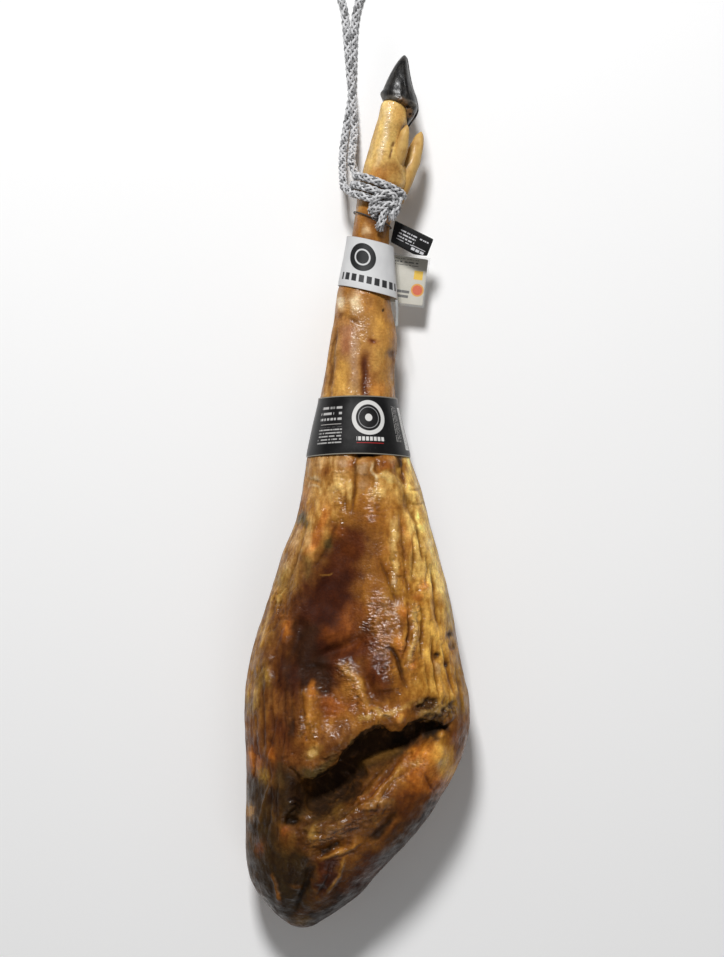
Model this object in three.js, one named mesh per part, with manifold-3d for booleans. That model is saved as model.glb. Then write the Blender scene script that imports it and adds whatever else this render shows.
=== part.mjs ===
// A whole cured ham (hind leg, hoof on) lying on its skin side with the meat side up.
// Millimetres. +Y runs from the rump to the hoof, +Z is up, +X is the heel side of the leg.
// The origin is under the middle of the ham, on the surface that it rests on.

import * as THREE from 'three';
import { mergeVertices } from 'three/addons/utils/BufferGeometryUtils.js';
import Module from 'manifold-3d';

// ---------------------------------------------------------------- driving sizes

const GAP = 0.35; // air left between pieces that touch
const RING_STEP = 15; // spacing of the leg's cross-sections
const SEGMENTS = 48; // points round one cross-section

// Cross-sections of the leg: distance along the leg, left and right edge, underside, top side.
// Where the underside is below zero, the skin lies flat on the surface.
const LEG_STATIONS = [
  [-424, -64, -42, 43, 62],
  [-414, -78, -27, 32, 74],
  [-403, -87, -11, 23, 85],
  [-390, -98, 5, 15, 95],
  [-370, -107, 22, 6, 105],
  [-345, -109, 46, -1, 115],
  [-317, -109, 69, -4, 124],
  [-294, -108, 83, -5, 129],
  [-273, -108, 95, -6, 132],
  [-242, -109, 107, -7, 134],
  [-222, -110, 110, -7, 134],
  [-202, -110, 109, -7, 133],
  [-171, -106, 102, -6, 130],
  [-145, -100, 97, -5, 127],
  [-112, -89, 92, -3, 122],
  [-83, -80, 85, -1, 116],
  [-54, -71, 77, 2, 111],
  [-33, -61, 71, 5, 108],
  [0, -54, 63, 9, 103],
  [33, -49, 51, 14, 99],
  [62, -43, 44, 18, 95],
  [92, -36, 37, 22, 91],
  [117, -31, 36, 25, 87],
  [145, -27, 39, 27, 84],
  [167, -23, 36, 29, 80],
  [186, -21, 32, 30, 77],
  [210, -16, 32, 31, 74],
  [251, -5, 31, 31, 71],
  [272, -2, 34, 30, 72],
  [290, 0, 40, 29, 74],
  [303, 2, 44, 28, 75],
  [319, 7, 44, 28, 75],
  [345, 14, 43, 28, 74],
  [363, 20, 43, 29, 73],
  [384, 27, 42, 32, 70],
];
const RUMP_END = -425.8;
const FOOT_END = 384;
const WIDEST = 0.46; // height of a section's widest point, as a share of its thickness
const ROUNDNESS = { across: 0.88, up: 0.9 }; // 1 is an ellipse, less is fuller in the corners

const ROPE_RADIUS = 4.15;
const ROPE_SIDES = 8;
// The turns run down towards the heel side, each a pitch further along the leg.
const WRAP = { start: 302, slope: -0.43, pitch: 9.8, middle: 18 };

const SLEEVE = { low: 193, high: 244, slope: -0.23, middle: 12, thickness: 0.7, loose: 0.6 };
const BAND = { low: 33, high: 90, arch: 2.6, halfWidth: 46, thickness: 0.8, loose: 0.6 };
const TAG_CORD = { at: 265, slope: -0.46, middle: 14, height: 51, radius: 0.7, sides: 8 };

const CARD = { width: 35, height: 46, thickness: 0.8 };
const POUCH = { wall: 0.35, margin: 2, inner: 1 };
const TAG_THICKNESS = 0.8;
const STRAP = { width: 2.6, length: 26, thickness: 0.9 };

// ---------------------------------------------------------------- helpers

const radians = THREE.MathUtils.degToRad;
const vectors = (rows) => rows.map((row) => new THREE.Vector3(...row));

// Smooth curve through one column of the station table that never overshoots it.
function stationCurve(column) {
  const at = LEG_STATIONS.map((row) => row[0]);
  const value = LEG_STATIONS.map((row) => row[column]);
  const last = at.length - 1;
  const rise = at.slice(1).map((a, i) => (value[i + 1] - value[i]) / (a - at[i]));
  const slope = value.map((_, i) => {
    if (i === 0) return rise[0];
    if (i === last) return rise[last - 1];
    const turns = rise[i - 1] * rise[i] <= 0;
    return turns ? 0 : (2 * rise[i - 1] * rise[i]) / (rise[i - 1] + rise[i]);
  });
  return (y) => {
    let i = 0;
    while (i < last - 1 && y > at[i + 1]) i += 1;
    const span = at[i + 1] - at[i];
    const t = THREE.MathUtils.clamp((y - at[i]) / span, 0, 1);
    const start = (1 + 2 * t) * (1 - t) ** 2 * value[i] + t * (1 - t) ** 2 * span * slope[i];
    return start + t * t * (3 - 2 * t) * value[i + 1] + t * t * (t - 1) * span * slope[i + 1];
  };
}

const leftEdge = stationCurve(1);
const rightEdge = stationCurve(2);
const underside = stationCurve(3);
const topSide = stationCurve(4);

function legEdges(y) {
  return { left: leftEdge(y), right: rightEdge(y), low: underside(y), high: topSide(y) };
}

const signedPower = (v, power) => Math.sign(v) * Math.abs(v) ** power;

// One point of a closed section in the XZ plane, standing out from it by `out`.
function sectionPoint(edges, angle, out = 0) {
  const { left, right, low, high } = edges;
  const middle = low + (high - low) * WIDEST;
  const across = signedPower(Math.cos(angle), ROUNDNESS.across);
  const up = signedPower(Math.sin(angle), ROUNDNESS.up);
  const halfHeight = up > 0 ? high - middle : middle - low;
  return {
    x: (left + right) / 2 + ((right - left) / 2 + out) * across,
    z: middle + (halfHeight + out) * up,
  };
}

// A point round the leg whose place along it depends on its own X.
function slantedPoint(placeAlong, edgesAt, angle, out) {
  let y = placeAlong(0);
  let point = sectionPoint(edgesAt(y), angle, out);
  for (let pass = 0; pass < 5; pass += 1) {
    y = placeAlong(point.x);
    point = sectionPoint(edgesAt(y), angle, out);
  }
  return new THREE.Vector3(point.x, y, point.z);
}

// Closed body from rings of points. Its ends are closed by fans, or joined to each other.
function bodyFromRings(rings, joined = false) {
  const count = rings[0].length;
  const points = rings.flat();
  const faces = [];
  const rows = joined ? rings.length : rings.length - 1;
  for (let r = 0; r < rows; r += 1) {
    const here = r * count;
    const next = ((r + 1) % rings.length) * count;
    for (let s = 0; s < count; s += 1) {
      const t = (s + 1) % count;
      faces.push(here + s, here + t, next + t, here + s, next + t, next + s);
    }
  }
  if (!joined) {
    [0, rings.length - 1].forEach((row) => {
      const centre = new THREE.Vector3();
      rings[row].forEach((point) => centre.add(point));
      const hub = points.push(centre.divideScalar(count)) - 1;
      for (let s = 0; s < count; s += 1) {
        const here = row * count + s;
        const next = row * count + ((s + 1) % count);
        if (row === 0) faces.push(hub, next, here);
        else faces.push(hub, here, next);
      }
    });
  }
  const geometry = new THREE.BufferGeometry();
  const numbers = points.flatMap((point) => point.toArray());
  geometry.setAttribute('position', new THREE.Float32BufferAttribute(numbers, 3));
  geometry.setIndex(faces);
  return geometry;
}

// Angle of one point of a ring. They go backwards round the circle, so that faces point out.
const ringAngle = (s) => (-2 * Math.PI * s) / SEGMENTS;

// Round tube along a list of points.
function tube(points, radius, steps, sides = ROPE_SIDES) {
  const round = new THREE.Shape();
  round.absarc(0, 0, radius, 0, 2 * Math.PI);
  const path = new THREE.CatmullRomCurve3(points, false, 'centripetal');
  return new THREE.ExtrudeGeometry(round, { steps, extrudePath: path, curveSegments: sides / 2 });
}

// ---------------------------------------------------------------- cutting and joining

const wasm = await Module();
wasm.setup();

function toSolid(geometry) {
  const bare = geometry.clone();
  bare.deleteAttribute('normal');
  bare.deleteAttribute('uv');
  const merged = mergeVertices(bare, 1e-4);
  return new wasm.Manifold(
    new wasm.Mesh({
      numProp: 3,
      vertProperties: new Float32Array(merged.attributes.position.array),
      triVerts: new Uint32Array(merged.index.array),
    }),
  );
}

function toGeometry(solid) {
  const { vertProperties, triVerts } = solid.getMesh();
  const geometry = new THREE.BufferGeometry();
  geometry.setAttribute('position', new THREE.Float32BufferAttribute(vertProperties, 3));
  geometry.setIndex(new THREE.Uint32BufferAttribute(triVerts, 1));
  return geometry;
}

function cutAway(geometry, cutters) {
  const cut = cutters.reduce((solid, cutter) => solid.subtract(toSolid(cutter)), toSolid(geometry));
  return toGeometry(cut);
}

// ---------------------------------------------------------------- the leg

// Hollows that the drying muscle leaves in the meat side: a broad bowl down the middle,
// and a slanting pocket above the rump.
function hollowDepth(x, y) {
  const bowl = { depth: 13, x: -22, y: -150, halfWidth: 42, halfLength: 120 };
  const pocket = { depth: 20, x: 8, y: -268, slant: 0.5, halfWidth: 58, halfLength: 26 };
  const across = (x - bowl.x) / bowl.halfWidth;
  const along = (y - bowl.y) / bowl.halfLength;
  const slit = (y - pocket.y - pocket.slant * x) / pocket.halfLength;
  const reach = (x - pocket.x) / pocket.halfWidth;
  const bowlDepth = bowl.depth * Math.exp(-across * across - along * along);
  return bowlDepth + pocket.depth * Math.exp(-slit * slit - reach ** 4);
}

// A point on the leg's skin. The underside is flat where the weight rests.
function legPoint(y, angle, out = 0) {
  const { x, z } = sectionPoint(legEdges(y), angle, out);
  const facingUp = Math.sqrt(Math.max(0, Math.sin(angle)));
  return new THREE.Vector3(x, y, Math.max(z - hollowDepth(x, y) * facingUp, -out));
}

function legRing(y, out = 0) {
  return Array.from({ length: SEGMENTS }, (_, s) => legPoint(y, ringAngle(s), out));
}

function wholeLegGeometry() {
  const rings = [-423, -418, -411, -402].map((y) => legRing(y));
  for (let y = -390; y < FOOT_END - RING_STEP / 2; y += RING_STEP) rings.push(legRing(y));
  rings.push(legRing(FOOT_END));
  const tip = rings[0].map((point) => point.clone());
  const centre = new THREE.Vector3();
  tip.forEach((point) => centre.addScaledVector(point, 1 / SEGMENTS));
  tip.forEach((point) => point.lerp(centre, 0.65).setY(RUMP_END));
  return bodyFromRings([tip, ...rings]);
}

// A stretch of the leg swollen by a gap, which cuts the pieces that sit on it.
function legCutter(from, to) {
  const count = Math.round((to - from) / RING_STEP);
  const step = (to - from) / count;
  return bodyFromRings(Array.from({ length: count + 1 }, (_, r) => legRing(from + r * step, GAP)));
}

// ---------------------------------------------------------------- horn

// One main claw from the side: tip, front wall, coronet, heel bulb, back wall.
const CLAW_OUTLINE = [
  [45.4, 425.6], [42.5, 421], [36.5, 412], [30.5, 400], [26.4, 390], [22.4, 388.4], [24, 383],
  [27, 380], [34, 378], [42, 374], [43.4, 368], [42.6, 362], [41.6, 358.6], [45, 357],
  [50, 360.5], [54.5, 365], [57.5, 369.5], [58.6, 374], [57.4, 381], [53.4, 393], [50, 404],
  [48.2, 416], [47.4, 424],
];
const CLAW = { centre: [40, 388], halfWidth: 10.4, bevel: 3.2, inset: 1.76, height: 51 };
const LOWER_CLAW_SHIFT = [1.2, -1];

// The two claws stand side by side across the foot, the upper one on the meat side.
function clawGeometry(isUpper) {
  const [cx, cy] = CLAW.centre;
  const inner = CLAW_OUTLINE.map(([x, y]) => {
    const reach = Math.hypot(x - cx, y - cy);
    const keep = (reach - CLAW.inset) / reach;
    return new THREE.Vector2(cx + (x - cx) * keep, cy + (y - cy) * keep);
  });
  const wall = 2 * (CLAW.halfWidth - CLAW.bevel);
  const body = new THREE.ExtrudeGeometry(new THREE.Shape(inner), {
    depth: wall,
    bevelEnabled: true,
    bevelThickness: CLAW.bevel - GAP / 2,
    bevelSize: CLAW.inset,
    bevelSegments: 2,
  });
  const [dx, dy] = isUpper ? [0, 0] : LOWER_CLAW_SHIFT;
  const side = isUpper ? CLAW.halfWidth : -CLAW.halfWidth;
  body.translate(dx, dy, CLAW.height + side - wall / 2);
  return cutAway(body, [legCutter(330, FOOT_END + GAP)]);
}

// A dewclaw: a blunt cone, from its root in the skin to its tip.
const DEWCLAWS = [
  { name: 'dewclaw_upper', root: [38, 322, 66], tip: [48.6, 353.5, 70] },
  { name: 'dewclaw_lower', root: [44, 316, 44], tip: [62, 352.5, 42] },
];
const DEWCLAW_RADIUS = 6;

function dewclawGeometry(root, tip) {
  const profile = [
    [0, 0], [0.8, 0.02], [1, 0.3], [0.86, 0.6], [0.6, 0.84], [0.3, 0.96], [0, 1],
  ].map(([r, h]) => new THREE.Vector2(r * DEWCLAW_RADIUS, h));
  const start = new THREE.Vector3(...root);
  const axis = new THREE.Vector3(...tip).sub(start);
  const cone = new THREE.LatheGeometry(profile, 12).scale(1, axis.length(), 1.15);
  const upright = new THREE.Vector3(0, 1, 0);
  cone.applyQuaternion(new THREE.Quaternion().setFromUnitVectors(upright, axis.normalize()));
  cone.translate(start.x, start.y, start.z);
  return cutAway(cone, [legCutter(295, FOOT_END)]);
}

// ---------------------------------------------------------------- labels round the leg

// Closed loop of card: `skin(share, angle, out)` gives the surface that it follows.
function loopGeometry(skin, { thickness, loose }, rows = 2) {
  const layer = (row, out) =>
    Array.from({ length: SEGMENTS }, (_, s) => skin(row / rows, ringAngle(s), out));
  const rings = [];
  for (let row = 0; row <= rows; row += 1) rings.push(layer(row, loose + thickness));
  for (let row = rows; row >= 0; row -= 1) rings.push(layer(row, loose));
  return bodyFromRings(rings, true);
}

// The white sleeve is stiff card, looser than the leg at its upper left and lower right.
function sleeveEdges(y) {
  const down = (249 - y) / 50;
  return {
    left: Math.min(leftEdge(y), -8.6 - 9.7 * down),
    right: Math.max(rightEdge(y), 33.2 + 4 * down),
    low: underside(y) - 0.8,
    high: topSide(y) + 1.2,
  };
}

function sleeveSkin(share, angle, out) {
  const along = SLEEVE.low + (SLEEVE.high - SLEEVE.low) * share;
  const place = (x) => along + SLEEVE.slope * (x - SLEEVE.middle);
  return slantedPoint(place, sleeveEdges, angle, out);
}

// The black band bows up across the middle of the meat side.
function bandSkin(share, angle, out) {
  const along = BAND.low + (BAND.high - BAND.low) * share;
  const place = (x) => along + BAND.arch * (1 - (x / BAND.halfWidth) ** 2);
  return slantedPoint(place, legEdges, angle, out);
}

// ---------------------------------------------------------------- rope

// Rope laid round the leg between two angles in degrees, with the turns already made.
function wrapPoints(from, to, turnsBefore) {
  const count = Math.round(Math.abs(to - from) / 10);
  const out = ROPE_RADIUS + GAP + 0.55;
  return Array.from({ length: count + 1 }, (_, i) => {
    const degrees = from + ((to - from) * i) / count;
    const along = WRAP.start - WRAP.pitch * (turnsBefore + (from - degrees) / 360);
    const place = (x) => along + WRAP.slope * (x - WRAP.middle);
    return slantedPoint(place, legEdges, radians(degrees), out);
  });
}

const upperWrap = wrapPoints(186, -300, 0);
const lowerWrap = wrapPoints(180, 66, 1.98);
const UPPER_WRAP_STEPS = 46;
const LOWER_WRAP_STEPS = 12;

// The free loop: up one strand, round the eye, down the other. The first strand passes over
// the second in a long low hump.
const FLOOR = ROPE_RADIUS + 0.25;
const LOOP_ROUTE = vectors([
  [-5.5, 318.5, 50], [-5.5, 326, 42], [-4.5, 337, 30], [-3.4, 349, 20], [-3, 362, 14.6],
  [-4, 378, 13.4], [-5.6, 396, 13.2], [-7.4, 414, 12.8], [-8.8, 431, 12.4], [-10.4, 449, 11],
  [-11.8, 465, 8], [-13.4, 480, 5.6], [-17.5, 495, 4.5], [-23.5, 511, FLOOR], [-25, 527, FLOOR],
  [-17.5, 541, FLOOR], [-5.5, 546, FLOOR], [6, 541, FLOOR], [12.5, 527, FLOOR],
  [9.5, 511, FLOOR], [3.5, 495, FLOOR], [-0.8, 480, FLOOR], [-3, 465, FLOOR], [-4, 449, FLOOR],
  [-4.5, 431, FLOOR], [-4.8, 414, FLOOR], [-5.6, 396, FLOOR], [-8.4, 378, FLOOR],
  [-11.2, 362, FLOOR], [-13.2, 349, 6], [-14.4, 337, 12], [-14.8, 326, 20], [-14.6, 315, 29],
  [-14, 304, 38],
]);
const LOOP_STEPS = 80;

// The knot on the meat side of the turns, with its two cut ends.
const KNOT = { centre: [28.5, 276, 75], radii: [11.5, 13, 10.5] };
const TAIL_RADIUS = 3.8;
const TAILS = [
  [[26, 272, 76], [25, 265, 76.5], [23, 258.5, 76], [21.5, 253.5, 74.8]],
  [[32, 272, 75], [32.6, 267, 75], [33.4, 262.5, 73]],
];

function knotGeometry() {
  const blob = new THREE.SphereGeometry(1, 14, 9).scale(...KNOT.radii).translate(...KNOT.centre);
  const joined = TAILS.reduce(
    (solid, route) => solid.add(toSolid(tube(vectors(route), TAIL_RADIUS, route.length))),
    toSolid(blob),
  );
  const clear = ROPE_RADIUS + GAP;
  return cutAway(toGeometry(joined), [
    legCutter(225, 330),
    tube(upperWrap, clear, UPPER_WRAP_STEPS),
    tube(lowerWrap, clear, LOWER_WRAP_STEPS),
  ]);
}

// ---------------------------------------------------------------- cards and small trim

const TAG_OUTLINE = [
  [-21.5, 10.5], [-16.3, -10.3], [9.6, -11.3], [21.7, -7.1], [20.3, 10.5],
];

function tagGeometry() {
  const outline = new THREE.Shape(TAG_OUTLINE.map(([x, y]) => new THREE.Vector2(x, y)));
  return new THREE.ExtrudeGeometry(outline, { depth: TAG_THICKNESS, bevelEnabled: false });
}

// Clear pouch: a flat bag, open along its upper edge, a little wider than the card on the outside.
function pouchGeometry() {
  const depth = CARD.thickness + 2 * (GAP + POUCH.wall);
  const height = CARD.height + 2 * POUCH.margin;
  const bag = new THREE.BoxGeometry(CARD.width + POUCH.inner + POUCH.margin, height, depth);
  bag.translate((POUCH.margin - POUCH.inner) / 2, 0, 0);
  const space = new THREE.BoxGeometry(CARD.width + 2 * GAP, height, CARD.thickness + 2 * GAP);
  space.translate(0, POUCH.margin - GAP, 0);
  return cutAway(bag, [space]);
}

// The thin cord round the leg that the black tag hangs on.
function tagCordGeometry() {
  const place = (x) => TAG_CORD.at + TAG_CORD.slope * (x - TAG_CORD.middle);
  const count = 24;
  const points = Array.from({ length: count }, (_, i) =>
    slantedPoint(place, legEdges, (2 * Math.PI * i) / count, TAG_CORD.radius + 2 * GAP),
  );
  const rings = points.map((point, i) => {
    const before = points[(i + count - 1) % count];
    const ahead = points[(i + 1) % count].clone().sub(before).normalize();
    const outward = new THREE.Vector3(point.x - TAG_CORD.middle, 0, point.z - TAG_CORD.height);
    outward.normalize();
    const sideways = new THREE.Vector3().crossVectors(ahead, outward).normalize();
    return Array.from({ length: TAG_CORD.sides }, (_, s) => {
      const angle = (2 * Math.PI * s) / TAG_CORD.sides;
      const spoke = point.clone().addScaledVector(outward, Math.cos(angle) * TAG_CORD.radius);
      return spoke.addScaledVector(sideways, Math.sin(angle) * TAG_CORD.radius);
    });
  });
  return bodyFromRings(rings, true);
}

// ---------------------------------------------------------------- materials

const material = (color, roughness) => new THREE.MeshStandardMaterial({ color, roughness });

const MATERIALS = {
  meat: material(0x8a5424, 0.35),
  horn: material(0x1c1a19, 0.3),
  amberHorn: material(0xb98a3e, 0.4),
  rope: material(0xb4b4b8, 0.7),
  whiteCard: material(0xf0f0f0, 0.5),
  blackCard: material(0x17171a, 0.35),
  beigeCard: material(0xcfcbb8, 0.55),
  clearFilm: material(0xe8ecec, 0.15),
  blackCord: material(0x1b1715, 0.6),
  greyPlastic: material(0x9b9d9c, 0.45),
};

// ---------------------------------------------------------------- assembly

const ham = new THREE.Group();

function addPiece(name, geometry, finish, position = [0, 0, 0], rotation = [0, 0, 0]) {
  const mesh = new THREE.Mesh(geometry, finish);
  mesh.name = name;
  mesh.position.set(...position);
  mesh.rotation.set(...rotation.map(radians));
  ham.add(mesh);
}

addPiece('ham_leg', wholeLegGeometry(), MATERIALS.meat);
addPiece('hoof_claw_upper', clawGeometry(true), MATERIALS.horn);
addPiece('hoof_claw_lower', clawGeometry(false), MATERIALS.horn);
DEWCLAWS.forEach(({ name, root, tip }) => {
  addPiece(name, dewclawGeometry(root, tip), MATERIALS.amberHorn);
});

addPiece('white_sleeve', loopGeometry(sleeveSkin, SLEEVE), MATERIALS.whiteCard);
addPiece('black_band', loopGeometry(bandSkin, BAND), MATERIALS.blackCard);

addPiece('rope_loop', tube(LOOP_ROUTE, ROPE_RADIUS, LOOP_STEPS), MATERIALS.rope);
addPiece('rope_wrap_upper', tube(upperWrap, ROPE_RADIUS, UPPER_WRAP_STEPS), MATERIALS.rope);
addPiece('rope_wrap_lower', tube(lowerWrap, ROPE_RADIUS, LOWER_WRAP_STEPS), MATERIALS.rope);
addPiece('rope_knot', knotGeometry(), MATERIALS.rope);

addPiece('tag_cord', tagCordGeometry(), MATERIALS.blackCord);
addPiece('black_tag', tagGeometry(), MATERIALS.blackCard, [51.6, 245.7, 49.6], [0, 3, -25.8]);
const cardPosition = [49.6, 207.8, 29.5];
const cardRotation = [0, 4, -7.5];
const cardBody = new THREE.BoxGeometry(CARD.width, CARD.height, CARD.thickness);
addPiece('info_card', cardBody, MATERIALS.beigeCard, cardPosition, cardRotation);
addPiece('clear_pouch', pouchGeometry(), MATERIALS.clearFilm, cardPosition, cardRotation);

const strapBody = new THREE.BoxGeometry(STRAP.width, STRAP.length, STRAP.thickness);
addPiece('seal_strap', strapBody, MATERIALS.greyPlastic, [38, 173, 66]);

export default ham;
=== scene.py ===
"""The looks of a whole cured ham that lies on its skin side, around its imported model.

Lengths are in millimetres and become metres where a mesh is made.
+Y runs from the rump to the hoof, +Z is up, and +X is the heel side of the leg.
"""

import itertools
import math

import bpy
import numpy as np
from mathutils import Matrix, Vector
from mathutils.bvhtree import BVHTree


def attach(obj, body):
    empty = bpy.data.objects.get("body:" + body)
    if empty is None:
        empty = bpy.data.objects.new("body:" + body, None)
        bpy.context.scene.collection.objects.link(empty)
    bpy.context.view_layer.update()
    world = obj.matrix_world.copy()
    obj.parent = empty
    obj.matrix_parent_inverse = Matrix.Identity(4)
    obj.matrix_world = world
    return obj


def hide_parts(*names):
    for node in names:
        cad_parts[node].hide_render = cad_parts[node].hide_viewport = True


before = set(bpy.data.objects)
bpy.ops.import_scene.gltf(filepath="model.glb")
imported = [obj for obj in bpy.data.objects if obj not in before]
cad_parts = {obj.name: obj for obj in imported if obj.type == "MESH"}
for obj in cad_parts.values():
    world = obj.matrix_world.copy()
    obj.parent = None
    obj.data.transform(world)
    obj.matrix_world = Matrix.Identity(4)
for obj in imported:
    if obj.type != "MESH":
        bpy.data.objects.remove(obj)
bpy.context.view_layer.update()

MM = 0.001

# ---------------------------------------------------------------- driving sizes

VIEW_CENTRE = (4.5, 12.4)
VIEW_HEIGHT_ABOVE = 2203.0  # from the lens down to the plane that the view is sized on
VIEW_PLANE = 55.0
LENS = 85.0

LEG_VOXEL = 2.0
LEG_FINE_VOXEL = 1.2

ROPE_RADIUS = 4.15
BRAID = {"each_way": 4, "pitch": 27.0, "radius": 2.95, "weave": 0.55, "half_width": 1.2,
         "half_height": 0.75, "core": 2.6, "ply_turn": 4.2}
ROPE_STEP = 1.3
ROPE_GAP = 0.9  # air between the leg and a turn of rope

# The turns of rope round the leg, each a pitch further along it.
WRAP = {"start": 302.0, "slope": -0.43, "pitch": 9.8, "middle": 18.0}

ROPE_FLOOR = 4.4
LOOP_ROUTE = [
    (-5.5, 318.5, 50), (-5.5, 326, 42), (-4.5, 337, 30), (-3.4, 349, 20), (-3, 362, 14.6),
    (-4, 378, 13.4), (-5.6, 396, 13.2), (-7.4, 414, 12.8), (-8.8, 431, 12.4), (-10.4, 449, 11),
    (-11.8, 465, 8), (-13.4, 480, 5.6), (-17.5, 495, 4.5), (-23.5, 511, ROPE_FLOOR),
    (-25, 527, ROPE_FLOOR), (-17.5, 541, ROPE_FLOOR), (-5.5, 546, ROPE_FLOOR),
    (6, 541, ROPE_FLOOR), (12.5, 527, ROPE_FLOOR), (9.5, 511, ROPE_FLOOR), (3.5, 495, ROPE_FLOOR),
    (-0.8, 480, ROPE_FLOOR), (-3, 465, ROPE_FLOOR), (-4, 449, ROPE_FLOOR), (-4.5, 431, ROPE_FLOOR),
    (-4.8, 414, ROPE_FLOOR), (-5.6, 396, ROPE_FLOOR), (-8.4, 378, ROPE_FLOOR),
    (-11.2, 362, ROPE_FLOOR), (-13.2, 349, 6), (-14.4, 337, 12), (-14.8, 326, 20),
    (-14.6, 315, 29), (-14, 304, 38),
]

# Cards and cords round the leg, each at a place along it that changes with its X.
SLEEVE = {"low": 193, "high": 244, "slope": -0.23, "middle": 12, "rows": 12}
BAND = {"low": 33, "high": 90, "arch": 2.6, "half_width": 46, "rows": 14}
TAG_CORD = {"at": 265, "slope": -0.46, "middle": 14, "step": 0.8, "lay": 5.2, "ply": 0.42}
CARD_COLUMNS = 200
CARD_LOOP_THICKNESS = 0.7
CARD_LOOP_INSET = 0.5
UNPRINTED = 200.0  # moves the blank side of a card away from its print
PRINT_EDGE = 0.12  # softness of the edge of a printed mark

# ---------------------------------------------------------------- numbers


def soft_noise(points, size, seed):
    """Smooth noise from -1 to 1 whose lumps are about that size."""
    lattice = np.random.default_rng(seed).uniform(-1, 1, (64, 64, 64))
    place = points / size
    cell = np.floor(place).astype(int)
    share = place - cell
    share = share * share * (3 - 2 * share)
    total = np.zeros(len(points))
    for corner in itertools.product((0, 1), repeat=3):
        x, y, z = ((cell + corner) % 64).T
        weight = np.prod(np.where(corner, share, 1 - share), axis=1)
        total += weight * lattice[x, y, z]
    return total


def rough_noise(points, size, seed, layers=3):
    """Several layers of noise, each half the size and strength of the one before."""
    total = np.zeros(len(points))
    for layer in range(layers):
        total += soft_noise(points, size / 2**layer, seed + layer) / 2**layer
    return total


def smooth_step(value, low, high):
    share = np.clip((value - low) / (high - low), 0, 1)
    return share * share * (3 - 2 * share)


def from_line(plan, line):
    """Distance of each point from a broken line, the side it is on, and its share along it."""
    line = np.array(line, float)
    if len(line) == 1:
        offset = plan - line[0]
        return np.hypot(*offset.T), np.ones(len(plan)), np.full(len(plan), 0.5)
    lengths = np.hypot(*np.diff(line, axis=0).T)
    before = np.concatenate([[0], np.cumsum(lengths)])
    distance = np.full(len(plan), np.inf)
    side = np.zeros(len(plan))
    share = np.zeros(len(plan))
    for i, (start, end) in enumerate(zip(line[:-1], line[1:])):
        run = end - start
        t = np.clip(((plan - start) @ run) / (run @ run), 0, 1)
        offset = plan - (start + t[:, None] * run)
        reach = np.hypot(*offset.T)
        nearer = reach < distance
        distance[nearer] = reach[nearer]
        turn = run[0] * offset[:, 1] - run[1] * offset[:, 0]
        side[nearer] = np.sign(turn)[nearer]
        share[nearer] = ((before[i] + t * lengths[i]) / before[-1])[nearer]
    return distance, side, share


def stroke(plan, line, width, power=2, tapered=True):
    """Weight from 0 to 1 of one stroke of a brush along a broken line."""
    points = np.array(line, float)
    low = points.min(0) - 2.6 * width
    high = points.max(0) + 2.6 * width
    near = np.flatnonzero(np.all((plan > low) & (plan < high), axis=1))
    weight = np.zeros(len(plan))
    distance, _, share = from_line(plan[near], points)
    ends = np.clip(4 * np.minimum(share, 1 - share) + 0.35, 0, 1) if tapered else 1
    weight[near] = np.exp(-((distance / width) ** power)) * ends
    return weight


# ---------------------------------------------------------------- meshes


def add_mesh(name, points, faces, material):
    mesh = bpy.data.meshes.new(name)
    mesh.from_pydata((np.array(points) * MM).tolist(), [], faces)
    mesh.polygons.foreach_set("use_smooth", [True] * len(mesh.polygons))
    mesh.materials.append(material)
    piece = bpy.data.objects.new(name, mesh)
    bpy.context.scene.collection.objects.link(piece)
    return piece


def finish_piece(piece, node):
    """The piece stands for that node of the model, and moves with the ham."""
    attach(piece, "root")
    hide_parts(node)


def copy_of_node(name, node, material):
    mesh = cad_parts[node].data.copy()
    mesh.materials.clear()
    mesh.materials.append(material)
    piece = bpy.data.objects.new(name, mesh)
    bpy.context.scene.collection.objects.link(piece)
    return piece


def remesh(piece, voxel):
    """Rebuilds the piece from even quads of that size."""
    modifier = piece.modifiers.new("even", "REMESH")
    modifier.mode = "VOXEL"
    modifier.voxel_size = voxel * MM
    modifier.use_smooth_shade = True
    graph = bpy.context.evaluated_depsgraph_get()
    mesh = bpy.data.meshes.new_from_object(piece.evaluated_get(graph))
    piece.modifiers.clear()
    piece.data = mesh


def get_points(piece):
    numbers = np.empty(len(piece.data.vertices) * 3, np.float32)
    piece.data.vertices.foreach_get("co", numbers)
    return numbers.reshape(-1, 3).astype(float) / MM


def set_points(piece, points):
    piece.data.vertices.foreach_set("co", (points * MM).astype(np.float32).ravel())
    piece.data.update()


def get_normals(piece):
    numbers = np.empty(len(piece.data.vertices) * 3, np.float32)
    piece.data.vertex_normals.foreach_get("vector", numbers)
    return numbers.reshape(-1, 3).astype(float)


def smooth_points(piece, points, times):
    """Moves each point halfway to the middle of its neighbours, that many times."""
    edges = np.empty(len(piece.data.edges) * 2, np.int32)
    piece.data.edges.foreach_get("vertices", edges)
    a, b = edges.reshape(-1, 2).T
    count = np.bincount(edges, minlength=len(points))[:, None]
    for _ in range(times):
        sums = [
            np.bincount(a, points[b, i], len(points)) + np.bincount(b, points[a, i], len(points))
            for i in range(3)
        ]
        points = points + 0.5 * (np.column_stack(sums) / count - points)
    return points


def add_number(piece, name, values):
    attribute = piece.data.attributes.new(name, "FLOAT", "POINT")
    attribute.data.foreach_set("value", np.asarray(values, np.float32))


def add_colour(piece, name, colours):
    attribute = piece.data.attributes.new(name, "FLOAT_COLOR", "POINT")
    rgba = np.column_stack([np.clip(colours, 0, 1), np.ones(len(colours))])
    attribute.data.foreach_set("color", rgba.astype(np.float32).ravel())


def lean(sizes, x):
    """How far something that lies aslant round the leg shifts along it by its X."""
    return sizes["slope"] * (x - sizes["middle"])


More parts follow.
